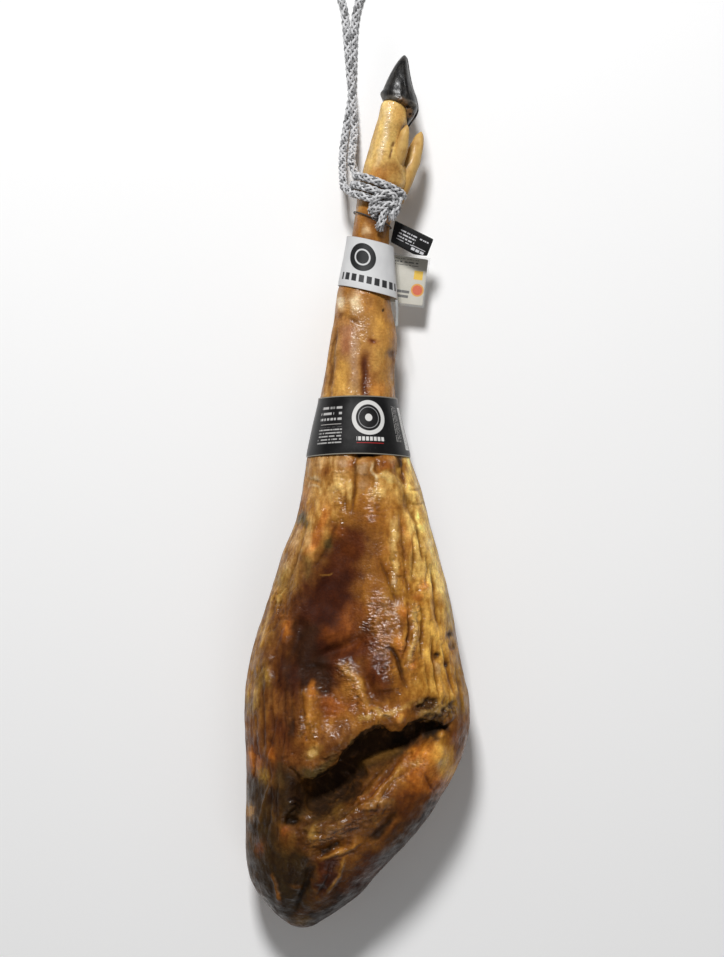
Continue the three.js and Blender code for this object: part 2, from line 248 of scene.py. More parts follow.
def grid_faces(rows, columns, closed_across=False, closed_along=False):
    """Quads of a grid of points, row by row."""
    faces = []
    for r in range(rows if closed_along else rows - 1):
        for c in range(columns if closed_across else columns - 1):
            d = (c + 1) % columns
            here = r * columns
            ahead = ((r + 1) % rows) * columns
            faces.append((here + c, here + d, ahead + d, ahead + c))
    return faces


# ---------------------------------------------------------------- finishes


class Finish:
    """A material being made, with short names for the nodes that it uses."""

    def __init__(self, name):
        self.material = bpy.data.materials.new(name)
        self.material.use_nodes = True
        self.tree = self.material.node_tree
        self.shader = self.tree.nodes["Principled BSDF"]
        self.where = self.node("ShaderNodeTexCoord").outputs["Object"]

    def node(self, kind, **settings):
        node = self.tree.nodes.new(kind)
        for name, value in settings.items():
            setattr(node, name, value)
        return node

    def put(self, socket, value):
        if isinstance(value, bpy.types.NodeSocket):
            self.tree.links.new(value, socket)
        elif isinstance(value, tuple) and len(value) == 3 and socket.type == "RGBA":
            socket.default_value = (*value, 1)
        else:
            socket.default_value = value

    def set(self, **values):
        """Sets inputs of the shader by name, with _ for a space."""
        for name, value in values.items():
            self.put(self.shader.inputs[name.replace("_", " ")], value)

    def math(self, operation, a, b=0.0):
        node = self.node("ShaderNodeMath", operation=operation)
        self.put(node.inputs[0], a)
        self.put(node.inputs[1], b)
        return node.outputs[0]

    def between(self, value, low, high, to_low=0.0, to_high=1.0):
        node = self.node("ShaderNodeMapRange", clamp=True)
        for name, number in (
            ("Value", value), ("From Min", low), ("From Max", high),
            ("To Min", to_low), ("To Max", to_high),
        ):
            self.put(node.inputs[name], number)
        return node.outputs["Result"]

    def mix(self, share, a, b, blend="MIX"):
        node = self.node("ShaderNodeMix", data_type="RGBA", blend_type=blend)
        self.put(node.inputs[0], share)
        self.put(node.inputs[6], a)
        self.put(node.inputs[7], b)
        return node.outputs[2]

    def stretched(self, x, y, z, turned=0.0):
        node = self.node("ShaderNodeMapping")
        node.inputs["Scale"].default_value = (x, y, z)
        node.inputs["Rotation"].default_value = (0, 0, math.radians(turned))
        self.put(node.inputs["Vector"], self.where)
        return node.outputs["Vector"]

    def noise(self, size, detail, roughness=0.55, where=None):
        node = self.node("ShaderNodeTexNoise")
        self.put(node.inputs["Vector"], where or self.where)
        self.put(node.inputs["Scale"], 1 / (size * MM))
        self.put(node.inputs["Detail"], detail)
        self.put(node.inputs["Roughness"], roughness)
        return node.outputs["Fac"]

    def cells(self, size, where=None):
        node = self.node("ShaderNodeTexVoronoi")
        self.put(node.inputs["Vector"], where or self.where)
        self.put(node.inputs["Scale"], 1 / (size * MM))
        return node.outputs["Distance"]

    def number(self, name):
        return self.node("ShaderNodeAttribute", attribute_name=name).outputs["Fac"]

    def colour(self, name):
        return self.node("ShaderNodeAttribute", attribute_name=name).outputs["Color"]

    def bump(self, height, depth, strength, under=None):
        node = self.node("ShaderNodeBump")
        self.put(node.inputs["Height"], height)
        self.put(node.inputs["Distance"], depth * MM)
        self.put(node.inputs["Strength"], strength)
        if under is not None:
            self.put(node.inputs["Normal"], under)
        return node.outputs["Normal"]


def meat_finish():
    """Cured meat, fat and skin: painted colour broken up by fine grain, waxy and partly wet."""
    finish = Finish("cured_meat")
    painted = finish.colour("paint")
    wet = finish.number("wet")
    skin = finish.number("skin")
    streaky = finish.number("streaky")
    grain = finish.noise(2.4, 5, 0.66)
    fibre = finish.noise(1.8, 4, 0.66, finish.stretched(1, 0.15, 1))
    speck = finish.cells(1.3)
    pebble = finish.cells(1.9, finish.stretched(0.8, 1, 1))
    ripple = finish.noise(2.6, 2, 0.5, finish.stretched(0.45, 1, 1))
    darker = finish.mix(1.0, painted, (0.52, 0.42, 0.34), "MULTIPLY")
    lighter = finish.mix(1.0, painted, (1.42, 1.48, 1.55), "MULTIPLY")
    grained = finish.mix(finish.between(grain, 0.36, 0.64), darker, lighter)
    lined = finish.mix(finish.between(fibre, 0.38, 0.62), darker, lighter)
    toned = finish.mix(finish.between(streaky, 0, 1, 0.1, 0.4), grained, lined)
    toned = finish.mix(finish.between(streaky, 0, 0.6, 0.36, 0.5), painted, toned)
    pores = finish.between(speck, 0.12, 0.26, 0.55, 0)
    dotted = finish.mix(finish.math("MULTIPLY", pores, skin), toned, (0.05, 0.022, 0.010))
    uneven = finish.between(grain, 0.3, 0.7, -0.04, 0.08)
    finish.set(
        Base_Color=dotted,
        Roughness=finish.math("ADD", finish.between(wet, -1, 1, 0.92, 0.10), uneven),
        Specular_IOR_Level=0.12,
        Coat_Weight=finish.between(wet, -0.15, 0.75, 0.0, 1.0),
        Coat_Roughness=0.13,
        Subsurface_Weight=0.05,
        Subsurface_Radius=(1.0, 0.4, 0.15),
        Subsurface_Scale=0.002,
    )
    coarse = finish.bump(finish.noise(3.4, 4, 0.6), 0.9, 0.5)
    fibres = finish.bump(fibre, 0.6, finish.between(streaky, 0, 1, 0.15, 0.8), coarse)
    rippled = finish.bump(ripple, 1.9, finish.between(wet, 0.25, 0.8, 0.08, 1.0), fibres)
    pebbled = finish.bump(pebble, 0.35, finish.between(streaky, 0, 1, 0.5, 0.15), rippled)
    surface = finish.bump(finish.noise(0.8, 3, 0.6), 0.25, 0.45, pebbled)
    finish.set(Normal=surface, Coat_Normal=pebbled)
    return finish.material


def horn_finish(name, dark, light, scratch, roughness):
    finish = Finish(name)
    lines = finish.noise(1.1, 4, 0.65, finish.stretched(1, 0.12, 1, 8))
    cloud = finish.noise(9, 4)
    base = finish.mix(finish.between(cloud, 0.4, 0.72), dark, light)
    worn = finish.mix(finish.math("MULTIPLY", finish.between(lines, 0.52, 0.72, 0, 0.75),
                                  finish.between(cloud, 0.38, 0.6)), base, scratch)
    painted = finish.mix(finish.number("worn"), worn, finish.colour("paint"))
    finish.set(
        Base_Color=painted,
        Roughness=finish.between(lines, 0.3, 0.75, roughness, roughness + 0.25),
        Specular_IOR_Level=0.25,
        Coat_Weight=0.1,
        Coat_Roughness=0.16,
        Normal=finish.bump(lines, 0.28, 0.6, finish.bump(cloud, 0.8, 0.4)),
    )
    return finish.material


def rope_finish():
    """Yarn of white, grey and charcoal strands: each strand's shade is its own number."""
    finish = Finish("braided_rope")
    shade = finish.number("shade")
    yarn = finish.noise(0.7, 2, 0.6)
    dark = finish.mix(finish.between(yarn, 0.3, 0.7), (0.012, 0.012, 0.013), (0.060, 0.060, 0.063))
    light = finish.mix(finish.between(yarn, 0.3, 0.7), (0.42, 0.42, 0.43), (0.78, 0.78, 0.79))
    finish.set(
        Base_Color=finish.mix(shade, dark, light),
        Roughness=0.62,
        Sheen_Weight=0.3,
        Sheen_Roughness=0.5,
        Normal=finish.bump(finish.number("ply"), 0.22, 0.8, finish.bump(yarn, 0.2, 0.5)),
    )
    return finish.material


# ---------------------------------------------------------------- the surface that pieces lie on

LEG_AXIS = [(-60, 0, 55), (92, 0.5, 56), (145, 6, 55), (186, 5.5, 53), (251, 13, 51),
            (290, 20, 51), (319, 25.5, 51), (384, 34.5, 51)]


def surface_of(node):
    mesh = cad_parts[node].data
    points = [tuple(v.co / MM) for v in mesh.vertices]
    return BVHTree.FromPolygons(points, [tuple(p.vertices) for p in mesh.polygons])


def point_round(surface, degrees, place, out):
    """A point round the leg at that angle, standing out from a surface. Its place along the
    leg depends on its own X. Returns the point and the way out."""
    angle = math.radians(degrees)
    ray = Vector((math.cos(angle), 0, math.sin(angle)))
    ys, xs, zs = zip(*LEG_AXIS)

    def cast(target, y):
        centre = Vector((np.interp(y, ys, xs), y, np.interp(y, ys, zs)))
        return target.ray_cast(centre + ray * 120, -ray)[:2]

    y = place(10)
    for _ in range(4):
        y = place(cast(leg_surface, y)[0].x)
    found = None
    middle = place(10)
    while found is None:
        found, normal = cast(surface, y)
        y += 0.1 * (middle - y)
    for _ in range(5):
        hit, facing = cast(surface, place(found.x))
        if hit is None:
            break
        found, normal = hit, facing
    way = Vector((normal.x, 0, normal.z)).normalized()
    return np.array(found + way * out), np.array(way)


leg_surface = surface_of("ham_leg")

# ---------------------------------------------------------------- rope


def even_path(route, step):
    """Points an even step apart on a smooth curve through the route."""
    route = np.array(route, float)
    padded = np.vstack([2 * route[0] - route[1], route, 2 * route[-1] - route[-2]])
    fine = []
    for a, b, c, d in zip(padded, padded[1:], padded[2:], padded[3:]):
        for t in np.linspace(0, 1, 24, endpoint=False):
            fine.append(
                0.5 * (2 * b + (c - a) * t + (2 * a - 5 * b + 4 * c - d) * t**2
                       + (3 * b - a - 3 * c + d) * t**3)
            )
    fine = np.array(fine + [route[-1]])
    along = np.concatenate([[0], np.cumsum(np.linalg.norm(np.diff(fine, axis=0), axis=1))])
    wanted = np.linspace(0, along[-1], max(4, round(along[-1] / step)))
    return np.column_stack([np.interp(wanted, along, fine[:, i]) for i in range(3)])


def path_frames(path, start_up=(0, 0, 1)):
    """The way ahead and two ways across at each point of a path, without twist."""
    ahead = np.gradient(path, axis=0)
    ahead /= np.linalg.norm(ahead, axis=1)[:, None]
    up = np.array(start_up, float)
    across = []
    for way in ahead:
        up = up - way * (up @ way)
        up /= np.linalg.norm(up)
        across.append(up.copy())
    across = np.array(across)
    return ahead, across, np.cross(ahead, across)


def tube_rings(centres, wide, high, half_width, half_height, sides):
    angles = 2 * np.pi * np.arange(sides) / sides
    rings = (
        centres[:, None]
        + wide[:, None] * (half_width * np.cos(angles))[None, :, None]
        + high[:, None] * (half_height * np.sin(angles))[None, :, None]
    )
    return rings.reshape(-1, 3)


def tube_faces(count, sides, first):
    faces = [tuple(first + i for i in face) for face in grid_faces(count, sides, True)]
    faces.append(tuple(first + s for s in reversed(range(sides))))
    faces.append(tuple(first + (count - 1) * sides + s for s in range(sides)))
    return faces


STRAND_SHADES = (1.0, 0.7, 1.0, 0.25, 0.95, 0.9, 0.35, 1.0)
STRAND_SIDES = 6
FRAYED_YARNS = 46
FRAYED_RADIUS = 3.4


def braided_rope(name, path, material, start_up=(0, 0, 1)):
    """Flat strands woven round a core, half of them each way. The core is charcoal, as painted
    shade in the gaps.
    """
    ahead, up, side = path_frames(path, start_up)
    along = np.concatenate([[0], np.cumsum(np.linalg.norm(np.diff(path, axis=0), axis=1))])
    turn = 2 * np.pi * along / BRAID["pitch"]
    points, faces, shades, plies = [], [], [], []

    def add_tube(rings, sides, shade, ply):
        first = sum(len(p) for p in points)
        points.append(rings)
        faces.extend(tube_faces(len(path), sides, first))
        shades.append(np.full(len(rings), shade))
        plies.append(ply)

    each_way = BRAID["each_way"]
    for strand in range(2 * each_way):
        way = 1 if strand < each_way else -1
        angle = way * turn + (strand % each_way) * 2 * np.pi / each_way
        radius = BRAID["radius"] + way * BRAID["weave"] * np.cos(each_way * turn)
        out = up * np.cos(angle)[:, None] + side * np.sin(angle)[:, None]
        round_way = side * np.cos(angle)[:, None] - up * np.sin(angle)[:, None]
        lean = np.arctan(2 * np.pi * BRAID["radius"] / BRAID["pitch"])
        wide = round_way * np.cos(lean) - ahead * (way * np.sin(lean))
        centres = path + out * radius[:, None]
        rings = tube_rings(centres, wide, out, BRAID["half_width"], BRAID["half_height"],
                           STRAND_SIDES)
        cross = 2 * np.pi * np.arange(STRAND_SIDES) / STRAND_SIDES
        ply = np.sin(along[:, None] * BRAID["ply_turn"] + np.cos(cross)[None, :] * 5.0).ravel()
        add_tube(rings, STRAND_SIDES, STRAND_SHADES[strand], 0.5 + 0.5 * ply)
    # The core is charcoal so the gaps between strands read dark: painted shade.
    core = tube_rings(path, side, up, BRAID["core"], BRAID["core"], STRAND_SIDES)
    add_tube(core, STRAND_SIDES, 0.0, np.zeros(len(core)))
    piece = add_mesh(name, np.vstack(points), faces, material)
    add_number(piece, "shade", np.concatenate(shades))
    add_number(piece, "ply", np.concatenate(plies))
    return piece


def wrap_route(start, end, turns_before):
    """Rope laid round the leg between two angles in degrees."""
    route = []
    for degrees in np.linspace(start, end, round(abs(end - start) / 12) + 1):
        along = WRAP["start"] - WRAP["pitch"] * (turns_before + (start - degrees) / 360)
        point, _ = point_round(
            leg_surface, degrees, lambda x: along + lean(WRAP, x), ROPE_RADIUS + ROPE_GAP
        )
        route.append(point)
    return route


def frayed_end(name, point, way, seed, length, material):
    """Loose yarns that spread from a cut end of the rope."""
    rng = np.random.default_rng(seed)
    way = np.array(way, float) / np.linalg.norm(way)
    sideways = np.cross(way, (0, 0, 1))
    upwards = np.cross(sideways, way)
    points, faces, shades = [], [], []
    for _ in range(FRAYED_YARNS):
        angle = rng.uniform(0, 2 * np.pi)
        radius = FRAYED_RADIUS * math.sqrt(rng.uniform(0.02, 1))
        out = sideways * math.cos(angle) + upwards * math.sin(angle)
        steps = np.linspace(0, 1, 6)[:, None]
        reach = length * rng.uniform(0.45, 1.0)
        curl = rng.normal(0, 0.9, 3)
        line = (np.array(point) - way * 3 + out * radius + way * (reach + 3) * steps
                + out * (rng.uniform(0, 0.35) * radius) * steps**2 + curl * steps**2)
        _, up, side = path_frames(line, upwards)
        thick = rng.uniform(0.28, 0.5)
        first = sum(len(p) for p in points)
        points.append(tube_rings(line, side, up, thick, thick, 5))
        faces.extend(tube_faces(len(line), 5, first))
        shades.append(np.full(len(line) * 5, rng.choice([1.0, 0.95, 0.8, 0.25, 0.1])))
    piece = add_mesh(name, np.vstack(points), faces, material)
    add_number(piece, "shade", np.concatenate(shades))
    add_number(piece, "ply", np.zeros(len(np.concatenate(shades))))
    return piece


rope_material = rope_finish()

loop_path = even_path(LOOP_ROUTE, ROPE_STEP)
hanging_loop = braided_rope("hanging_loop", loop_path, rope_material)
finish_piece(hanging_loop, "rope_loop")

upper_route = [(-5.4, 322, 46.5)] + wrap_route(186, -300, 0)
upper_turns = braided_rope(
    "rope_turns_upper", even_path(upper_route, ROPE_STEP), rope_material, (-1, 0, 0)
)
finish_piece(upper_turns, "rope_wrap_upper")
lower_route = [(-14.2, 303, 39), (-13, 298, 43)] + wrap_route(178, 66, 1.98)[1:]
lower_turns = braided_rope(
    "rope_turns_lower", even_path(lower_route, ROPE_STEP), rope_material, (-1, 0, 0)
)
finish_piece(lower_turns, "rope_wrap_lower")

KNOT_STRANDS = [
    [(13.5, 268, 66), (14.5, 275, 75), (19, 283, 81), (27, 287, 83), (35, 284, 80),
     (38.5, 277, 75), (36.5, 269.5, 72), (31, 266, 73)],
    [(40.5, 287, 60), (39.5, 281, 70), (34, 277, 78), (27, 275.5, 81), (20, 273, 79),
     (16, 269, 73), (19, 264.5, 69), (26, 263, 68)],
    [(30, 282, 74), (28, 276, 77), (26.2, 269.5, 79), (24, 262, 78.5), (22, 256.5, 77)],
    [(34, 280, 72), (33.2, 273, 76), (33.2, 266.5, 77)],
]

# Each cut end: place, way out, seed of its yarns, their length.
CUT_ENDS = [
    ((22, 256.5, 77), (-0.45, -1, -0.2), 5, 5),
    ((33.2, 266, 77), (0.05, -1, -0.3), 8, 4.5),
]


def build_knot():
    parts = []
    for i, route in enumerate(KNOT_STRANDS, 1):
        path = even_path(route, ROPE_STEP)
        parts.append(braided_rope(f"knot_strand_{i}", path, rope_material))
    for i, cut_end in enumerate(CUT_ENDS, 1):
        parts.append(frayed_end(f"frayed_end_{i}", *cut_end, rope_material))
    return parts


def joined(name, parts):
    """One piece made from several with the same attributes."""
    for part in parts:
        part.select_set(True)
    bpy.context.view_layer.objects.active = parts[0]
    with bpy.context.temp_override(
        active_object=parts[0], selected_editable_objects=parts, selected_objects=parts
    ):
        bpy.ops.object.join()
    parts[0].select_set(False)
    parts[0].name = name
    return parts[0]


knot = joined("rope_knot_tied", build_knot())
finish_piece(knot, "rope_knot")

# ---------------------------------------------------------------- the leg's shape

# Broken lines over the meat side, in the plan that the eye sees from above.
LIP = [(-76, -262), (-62, -268), (-55, -276), (-42, -277), (-30, -270), (-22, -262), (-15, -250),
       (-5, -240), (5, -234), (14, -228), (24, -226), (32, -231), (40, -232), (47, -226),
       (58, -221), (72, -219), (84, -226), (92, -222)]
CAVITY_FLOOR_EDGE = [(-84, -318), (-66, -326), (-50, -317), (-28, -311), (-10, -300), (2, -284),
                     (12, -271), (30, -260), (50, -249), (66, -241), (84, -231), (96, -222)]
CAVITY_DEPTH = 16.5
LIP_OVERHANG = 4.0
PRESSED_IN = 0.3  # how far rope and cards press into the skin
PRESSED = {"band": (34, 90), "sleeve": (191, 246), "rope": (272, 306)}

# Each row: height (minus is a groove), half-width, line.
BIG_FORMS = [
    (-6, 15, [(-8, -50), (-24, -86), (-38, -122)]),
    (-6, 8, [(-52, -122), (-60, -148), (-68, -178)]),
    (-6, 6, [(10, -141), (-10, -152), (-36, -160)]),
    (-5, 14, [(-36, -168), (-40, -200)]),
    (3, 9, [(-30, -128), (-24, -142)]),
    (3.5, 8, [(-18, -168), (-6, -178), (3, -193), (11, -208)]),
    (-4, 6, [(7, -180), (15, -200)]),
    (5, 13, [(26, -172), (28, -196)]),
    (3, 8, [(-46, -190), (-43, -232)]),
    (-3, 6, [(-60, -60), (-72, -105), (-80, -150), (-80, -225)]),
    (3, 10, [(-92, -150), (-98, -230)]),
    (4, 14, [(-42, -250), (-20, -235)]),
    (5, 8, [(-52, -268), (-35, -262), (-14, -241), (12, -222), (38, -220), (60, -212)]),
    (6, 14, [(60, -256), (84, -262)]),
    (4, 10, [(-50, -336), (-28, -328), (0, -316), (34, -298)]),
    (5, 7, [(-59, -304)]),
    (-9, 6, [(-71, -321), (-56, -323)]),
    (-6, 6, [(-40, -355), (-14, -342)]),
    (-5, 5, [(5, -342), (22, -332), (37, -313)]),
    (4, 9, [(-30, -370), (-34, -386)]),
    (-5, 4, [(-44, -364), (-50, -382), (-61, -410)]),
    (3, 9, [(6, 30), (6, 15)]),
    (3.5, 9, [(29, 33), (31, 18)]),
    (-4, 3.2, [(38, 34), (40, 12), (44, -2), (50, -18), (56, -32)]),
    (3, 6, [(54, 25), (57, 5), (62, -15), (68, -42)]),
    (-5, 3.5, [(-4, 36), (8, 37), (19, 36)]),
    (3, 8, [(-38, -12), (-44, -42), (-54, -70)]),
    (3, 8, [(66, -48), (73, -72)]),
    (3, 6, [(70, -98), (71, -130)]),
    (3, 5, [(84, -84), (89, -130)]),
    (3, 10, [(44, -118), (43, -158)]),
    (-2.5, 6, [(62, -209), (74, -207), (90, -209)]),
]

FINE_FOLDS = [
    (-2.2, 1.7, [(-3, 33), (-2, 15), (-3, -2), (-5, -20)]),
    (1.2, 2.4, [(-7.5, 12), (-7.5, -14)]),
    (-1.6, 1.5, [(-11, 4), (-12, -20)]),
    (1.4, 1.5, [(14, 29), (19, 11)]),
    (-1.5, 1.2, [(17, 29), (21, 15)]),
    (1.5, 2.2, [(17, 14), (25, 16), (35, 12), (42, 4), (47, -12)]),
    (-2.0, 1.6, [(44, 31), (45, 14), (46, 4)]),
    (-1.3, 1.1, [(50, 1), (64, 2)]),
    (-1.1, 1.1, [(53, -13), (67, -12)]),
    (-1.2, 1.3, [(-48, 12), (-36, 9)]),
    (-1.4, 2.0, [(-20, -30), (-28, -54), (-40, -72)]),
    (-1.0, 1.2, [(-58, -18), (-64, -45), (-74, -72)]),
    (-1.0, 1.2, [(-50, -30), (-56, -58), (-66, -88)]),
    (-1.8, 1.7, [(22, -66), (27, -80), (34, -96), (38, -108)]),
    (2.0, 2.6, [(31, -66), (36, -84), (38, -100)]),
    (1.2, 2.4, [(38, -20), (37, -48), (40, -72)]),
    (-1.2, 1.5, [(43, -22), (44, -50), (47, -80), (50, -104)]),
    (-1.5, 1.5, [(54, -40), (55, -66), (54, -90)]),
    (1.5, 2.6, [(55, -108), (57, -125), (57, -145), (52, -156), (50, -172)]),
    (-2.6, 2.0, [(29, -150), (37, -160), (43, -176), (48, -191)]),
    (-2.0, 1.7, [(49, -110), (51, -130), (49, -148), (45, -162)]),
    (-2.2, 1.8, [(60, -108), (65, -124), (63, -145), (63, -164)]),
    (-2.2, 1.8, [(72, -72), (75, -92), (76, -110), (80, -136)]),
    (-2.0, 1.8, [(73, -143), (74, -162), (77, -182), (80, -198)]),
    (-2.0, 1.8, [(57, -34), (62, -50), (64, -68)]),
    (-1.5, 1.5, [(66, -60), (69, -75), (67, -90)]),
    (-1.6, 1.5, [(82, -150), (88, -170), (93, -196)]),
    (-1.2, 1.3, [(66, -165), (68, -182), (72, -200)]),
    (-1.4, 1.4, [(96, -165), (100, -190), (101, -215)]),
    (1.5, 2.0, [(77, -168), (80, -186), (86, -202)]),
    (2.2, 4.5, [(45, -118)]),
    (2.0, 4.0, [(42, -141), (43, -156)]),
    (2.0, 4.0, [(53, -171)]),
    (2.2, 5.0, [(64, -92), (60, -106)]),
    (-3.0, 2.6, [(78, -160)]),
    (-2.4, 2.2, [(87, -168)]),
    (-2.0, 3.0, [(90, -140)]),
    (-2.0, 3.0, [(92, -151)]),
    (-1.6, 2.0, [(84, -214), (90, -210), (95, -206)]),
    (3.6, 5.5, [(40, -223)]),
    (2.2, 4.0, [(22, -221)]),
    (1.6, 1.6, [(14, -212), (26, -218), (34, -218)]),
    (4.0, 4.0, [(4, -266), (28, -257), (44, -252)]),
    (-1.6, 1.5, [(-8, -306), (8, -288), (22, -273)]),
    (-1.3, 1.6, [(4, -304), (18, -292), (40, -262)]),
    (-1.2, 1.6, [(20, -305), (33, -284), (52, -272)]),
    (-1.4, 1.4, [(-24, -322), (-8, -312), (2, -303)]),
    (1.2, 2.0, [(-2, -302), (12, -292), (30, -268)]),
    (1.2, 2.2, [(12, -306), (26, -286), (45, -268)]),
    (-1.3, 1.5, [(66, -276), (74, -292)]),
    (2.6, 2.2, [(-37, -359), (-18, -353), (2, -343)]),
    (1.8, 1.8, [(-12, -356), (-17, -374), (-30, -392)]),
    (-1.4, 1.4, [(-26, -362), (-30, -380), (-40, -396)]),
    (-1.6, 1.5, [(-68, -302), (-60, -300), (-52, -306)]),
    (-1.5, 1.3, [(-67, -308), (-60, -305), (-54, -311)]),
    (-1.3, 1.3, [(-66, -314), (-60, -311), (-55, -316)]),
    (1.4, 2.2, [(-83, -374), (-80, -386), (-76, -400)]),
    (1.2, 2.2, [(-66, -386), (-56, -386)]),
    (-1.3, 1.5, [(-84, -190), (-82, -236), (-89, -262)]),
    (-1.4, 1.7, [(-93, -180), (-92, -225), (-92, -262)]),
    (-1.3, 1.4, [(-72, -190), (-70, -230), (-74, -255)]),
    (-1.3, 1.4, [(-64, -190), (-63, -235)]),
    (-1.4, 1.6, [(-54, -185), (-52, -225)]),
    (-1.4, 1.5, [(-86, -268), (-84, -300), (-88, -335)]),
    (-1.4, 1.5, [(-78, -278), (-80, -305), (-78, -340)]),
    (1.3, 1.8, [(-82, -276), (-90, -300), (-97, -330)]),
    (-1.3, 1.5, [(-100, -215), (-98, -250), (-103, -285)]),
    (2.0, 2.0, [(-47, -222), (-43, -238)]),
    (1.6, 1.8, [(-56, -222), (-54, -236)]),
    (-1.6, 4.0, [(7, 136), (8, 118), (6.5, 100), (8, 92)]),
    (1.6, 2.0, [(-25, 160), (-28, 130), (-33, 90)]),
    (-1.6, 1.5, [(-21, 158), (-24, 125), (-27, 92)]),
    (-1.3, 1.2, [(-28, 150), (-32, 112), (-36, 92)]),
    (1.2, 4.5, [(-9, 160), (-5, 120), (-7, 94)]),
    (-0.5, 2.0, [(-18, 174), (-6, 168), (0, 160)]),
    (-2.0, 5.0, [(33, 133)]),
    (-1.0, 1.8, [(15, 146)]),
    (-0.8, 1.0, [(25, 176)]),
    (0.9, 4.0, [(29, 374), (28, 348), (21, 318)]),
    (-0.9, 1.3, [(36, 341), (33, 334), (31, 325)]),
    (-2.6, 2.6, [(45, 354), (48, 336), (47, 318)]),
]

# Places whose skin has shrunk into small crinkles: strength, half-width, line.
CRINKLES = [
    (0.9, 9, [(17, 8), (15, -24)]),
    (0.7, 8, [(-17, 18), (-16, -42)]),
    (1.0, 12, [(20, -112), (24, -132)]),
    (1.2, 13, [(18, -144), (26, -170)]),
    (1.1, 8, [(-16, -170), (-6, -186), (2, -200)]),
    (0.9, 9, [(38, -82), (34, -62)]),
    (0.9, 8, [(60, -92)]),
    (0.9, 10, [(56, -120), (54, -180)]),
    (0.9, 9, [(2, -208), (30, -216)]),
    (1.5, 9, [(64, -210), (84, -214)]),
    (1.0, 10, [(-50, -224), (-46, -242)]),
    (0.8, 12, [(-28, -190), (-22, -215)]),
    (1.0, 8, [(-78, -105), (-74, -125)]),
    (1.1, 14, [(-50, -338), (-20, -326), (20, -306)]),
    (1.0, 9, [(-36, -356), (-10, -346)]),
    (0.8, 10, [(-66, -262), (-40, -268)]),
]

# Where long fibres and wrinkles stand out, and where the skin is smooth and tight.
STREAKS = [
    (1.0, 24, [(-84, -70), (-96, -150), (-98, -260)]),
    (0.8, 13, [(-70, -190), (-72, -262)]),
    (0.5, 24, [(58, 20), (72, -60), (84, -130), (90, -195)]),
    (0.9, 22, [(-30, 26), (-48, -30), (-62, -90)]),
    (0.7, 13, [(-50, -195), (-46, -242)]),
    (0.6, 14, [(40, -10), (42, -80), (52, -170)]),
    (0.8, 18, [(-84, -280), (-88, -340)]),
    (0.7, 16, [(-20, -316), (20, -296), (48, -268)]),
    (0.5, 20, [(-70, -380), (-20, -380)]),
]
SMOOTH_PLACES = [
    (1.0, 24, [(-6, -40), (-26, -100), (-38, -150), (-44, -195)]),
    (0.7, 16, [(14, -30), (16, -95)]),
    (1.0, 18, [(20, -258), (-20, -290), (-40, -300)]),
    (0.8, 14, [(74, -262), (84, -262)]),
]
CRUMBLY = [
    (1.0, 9, [(62, -211), (76, -214), (88, -212)]),
    (0.35, 12, [(-52, -338), (-24, -328), (12, -314)]),
    (0.35, 5, [(-36, -268), (-22, -256), (-8, -242)]),
]


def region(plan, rows):
    """The strongest of several strokes at each point."""
    weight = np.zeros(len(plan))
    for amount, width, line in rows:
        weight = np.maximum(weight, amount * stroke(plan, line, width, 4, False))
    return weight


def seen_from_above(points):
    """Plan position of each point as the eye sees it on the view plane."""
    above = VIEW_HEIGHT_ABOVE + VIEW_PLANE - points[:, 2]
    scale = (VIEW_HEIGHT_ABOVE / above)[:, None]
    centre = np.array(VIEW_CENTRE)
    return centre + (points[:, :2] - centre) * scale


def wandering(points, plan, reach):
    """The plan with its points pushed about, so that painted edges aren't drawn with a ruler."""
    x = rough_noise(points, 10, 21, 4)
    y = rough_noise(points, 10, 31, 4)
    return plan + reach * np.column_stack([x, y])


def in_cavity(plan):
    """How far inside the pocket above the rump a point is: at its lip, and at its lower edge."""
    lip, lip_side, _ = from_line(plan, LIP)
    low, low_side, _ = from_line(plan, CAVITY_FLOOR_EDGE)
    x = plan[:, 0]
    shut = smooth_step(x, -74, -40) * smooth_step(x, 98, 80)
    return -lip * lip_side, low * low_side, shut


def cavity_weight(plan, lip_width, low_start, low_end):
    under_lip, above_low, shut = in_cavity(plan)
    at_lip = smooth_step(under_lip, 0, lip_width)
    return at_lip * smooth_step(above_low, low_start, low_end) * shut


def shape_foot(points):
    """Broadens the foot towards its heel and tucks its last few millimetres under the claws."""
    y = points[:, 1]
    heel_side = smooth_step(points[:, 0], 26, 44)
    points[:, 0] += 7.5 * smooth_step(y, 336, 364) * heel_side
    points[:, 0] -= 1.6 * smooth_step(y, 364, 376) * (1 - heel_side)
    points[:, 0] += 4.5 * smooth_step(y, 272, 300) * smooth_step(y, 338, 312) * heel_side
    points[:, 2] += 1.2 * smooth_step(y, 340, 360) * smooth_step(points[:, 2], 50, 66)
    tucked = 0.40 * smooth_step(y, 378.5, 382)[:, None]
    points[:, [0, 2]] += (np.array([42.0, 51.0]) - points[:, [0, 2]]) * tucked


def sculpt_forms(piece):
    points = smooth_points(piece, get_points(piece), 6)
    set_points(piece, points)
    upward = smooth_step(get_normals(piece)[:, 2], 0.05, 0.5)
    plan = wandering(points, seen_from_above(points), 1.2)
    height = np.zeros(len(points))
    for amount, width, line in BIG_FORMS:
        height += amount * stroke(plan, line, width)
    weight = cavity_weight(plan, 3.5, -15, 14)
    height = height * (1 - 0.6 * weight) - CAVITY_DEPTH * weight
    points[:, 2] += height * upward
    under_lip, _, shut = in_cavity(plan)
    rim = smooth_step(under_lip, -12, -0.5) * (under_lip < 1.0) * shut * upward
    shape_foot(points)
    points[:, 0] += LIP_OVERHANG * 0.45 * rim
    points[:, 1] -= LIP_OVERHANG * 0.9 * rim
    set_points(piece, points)


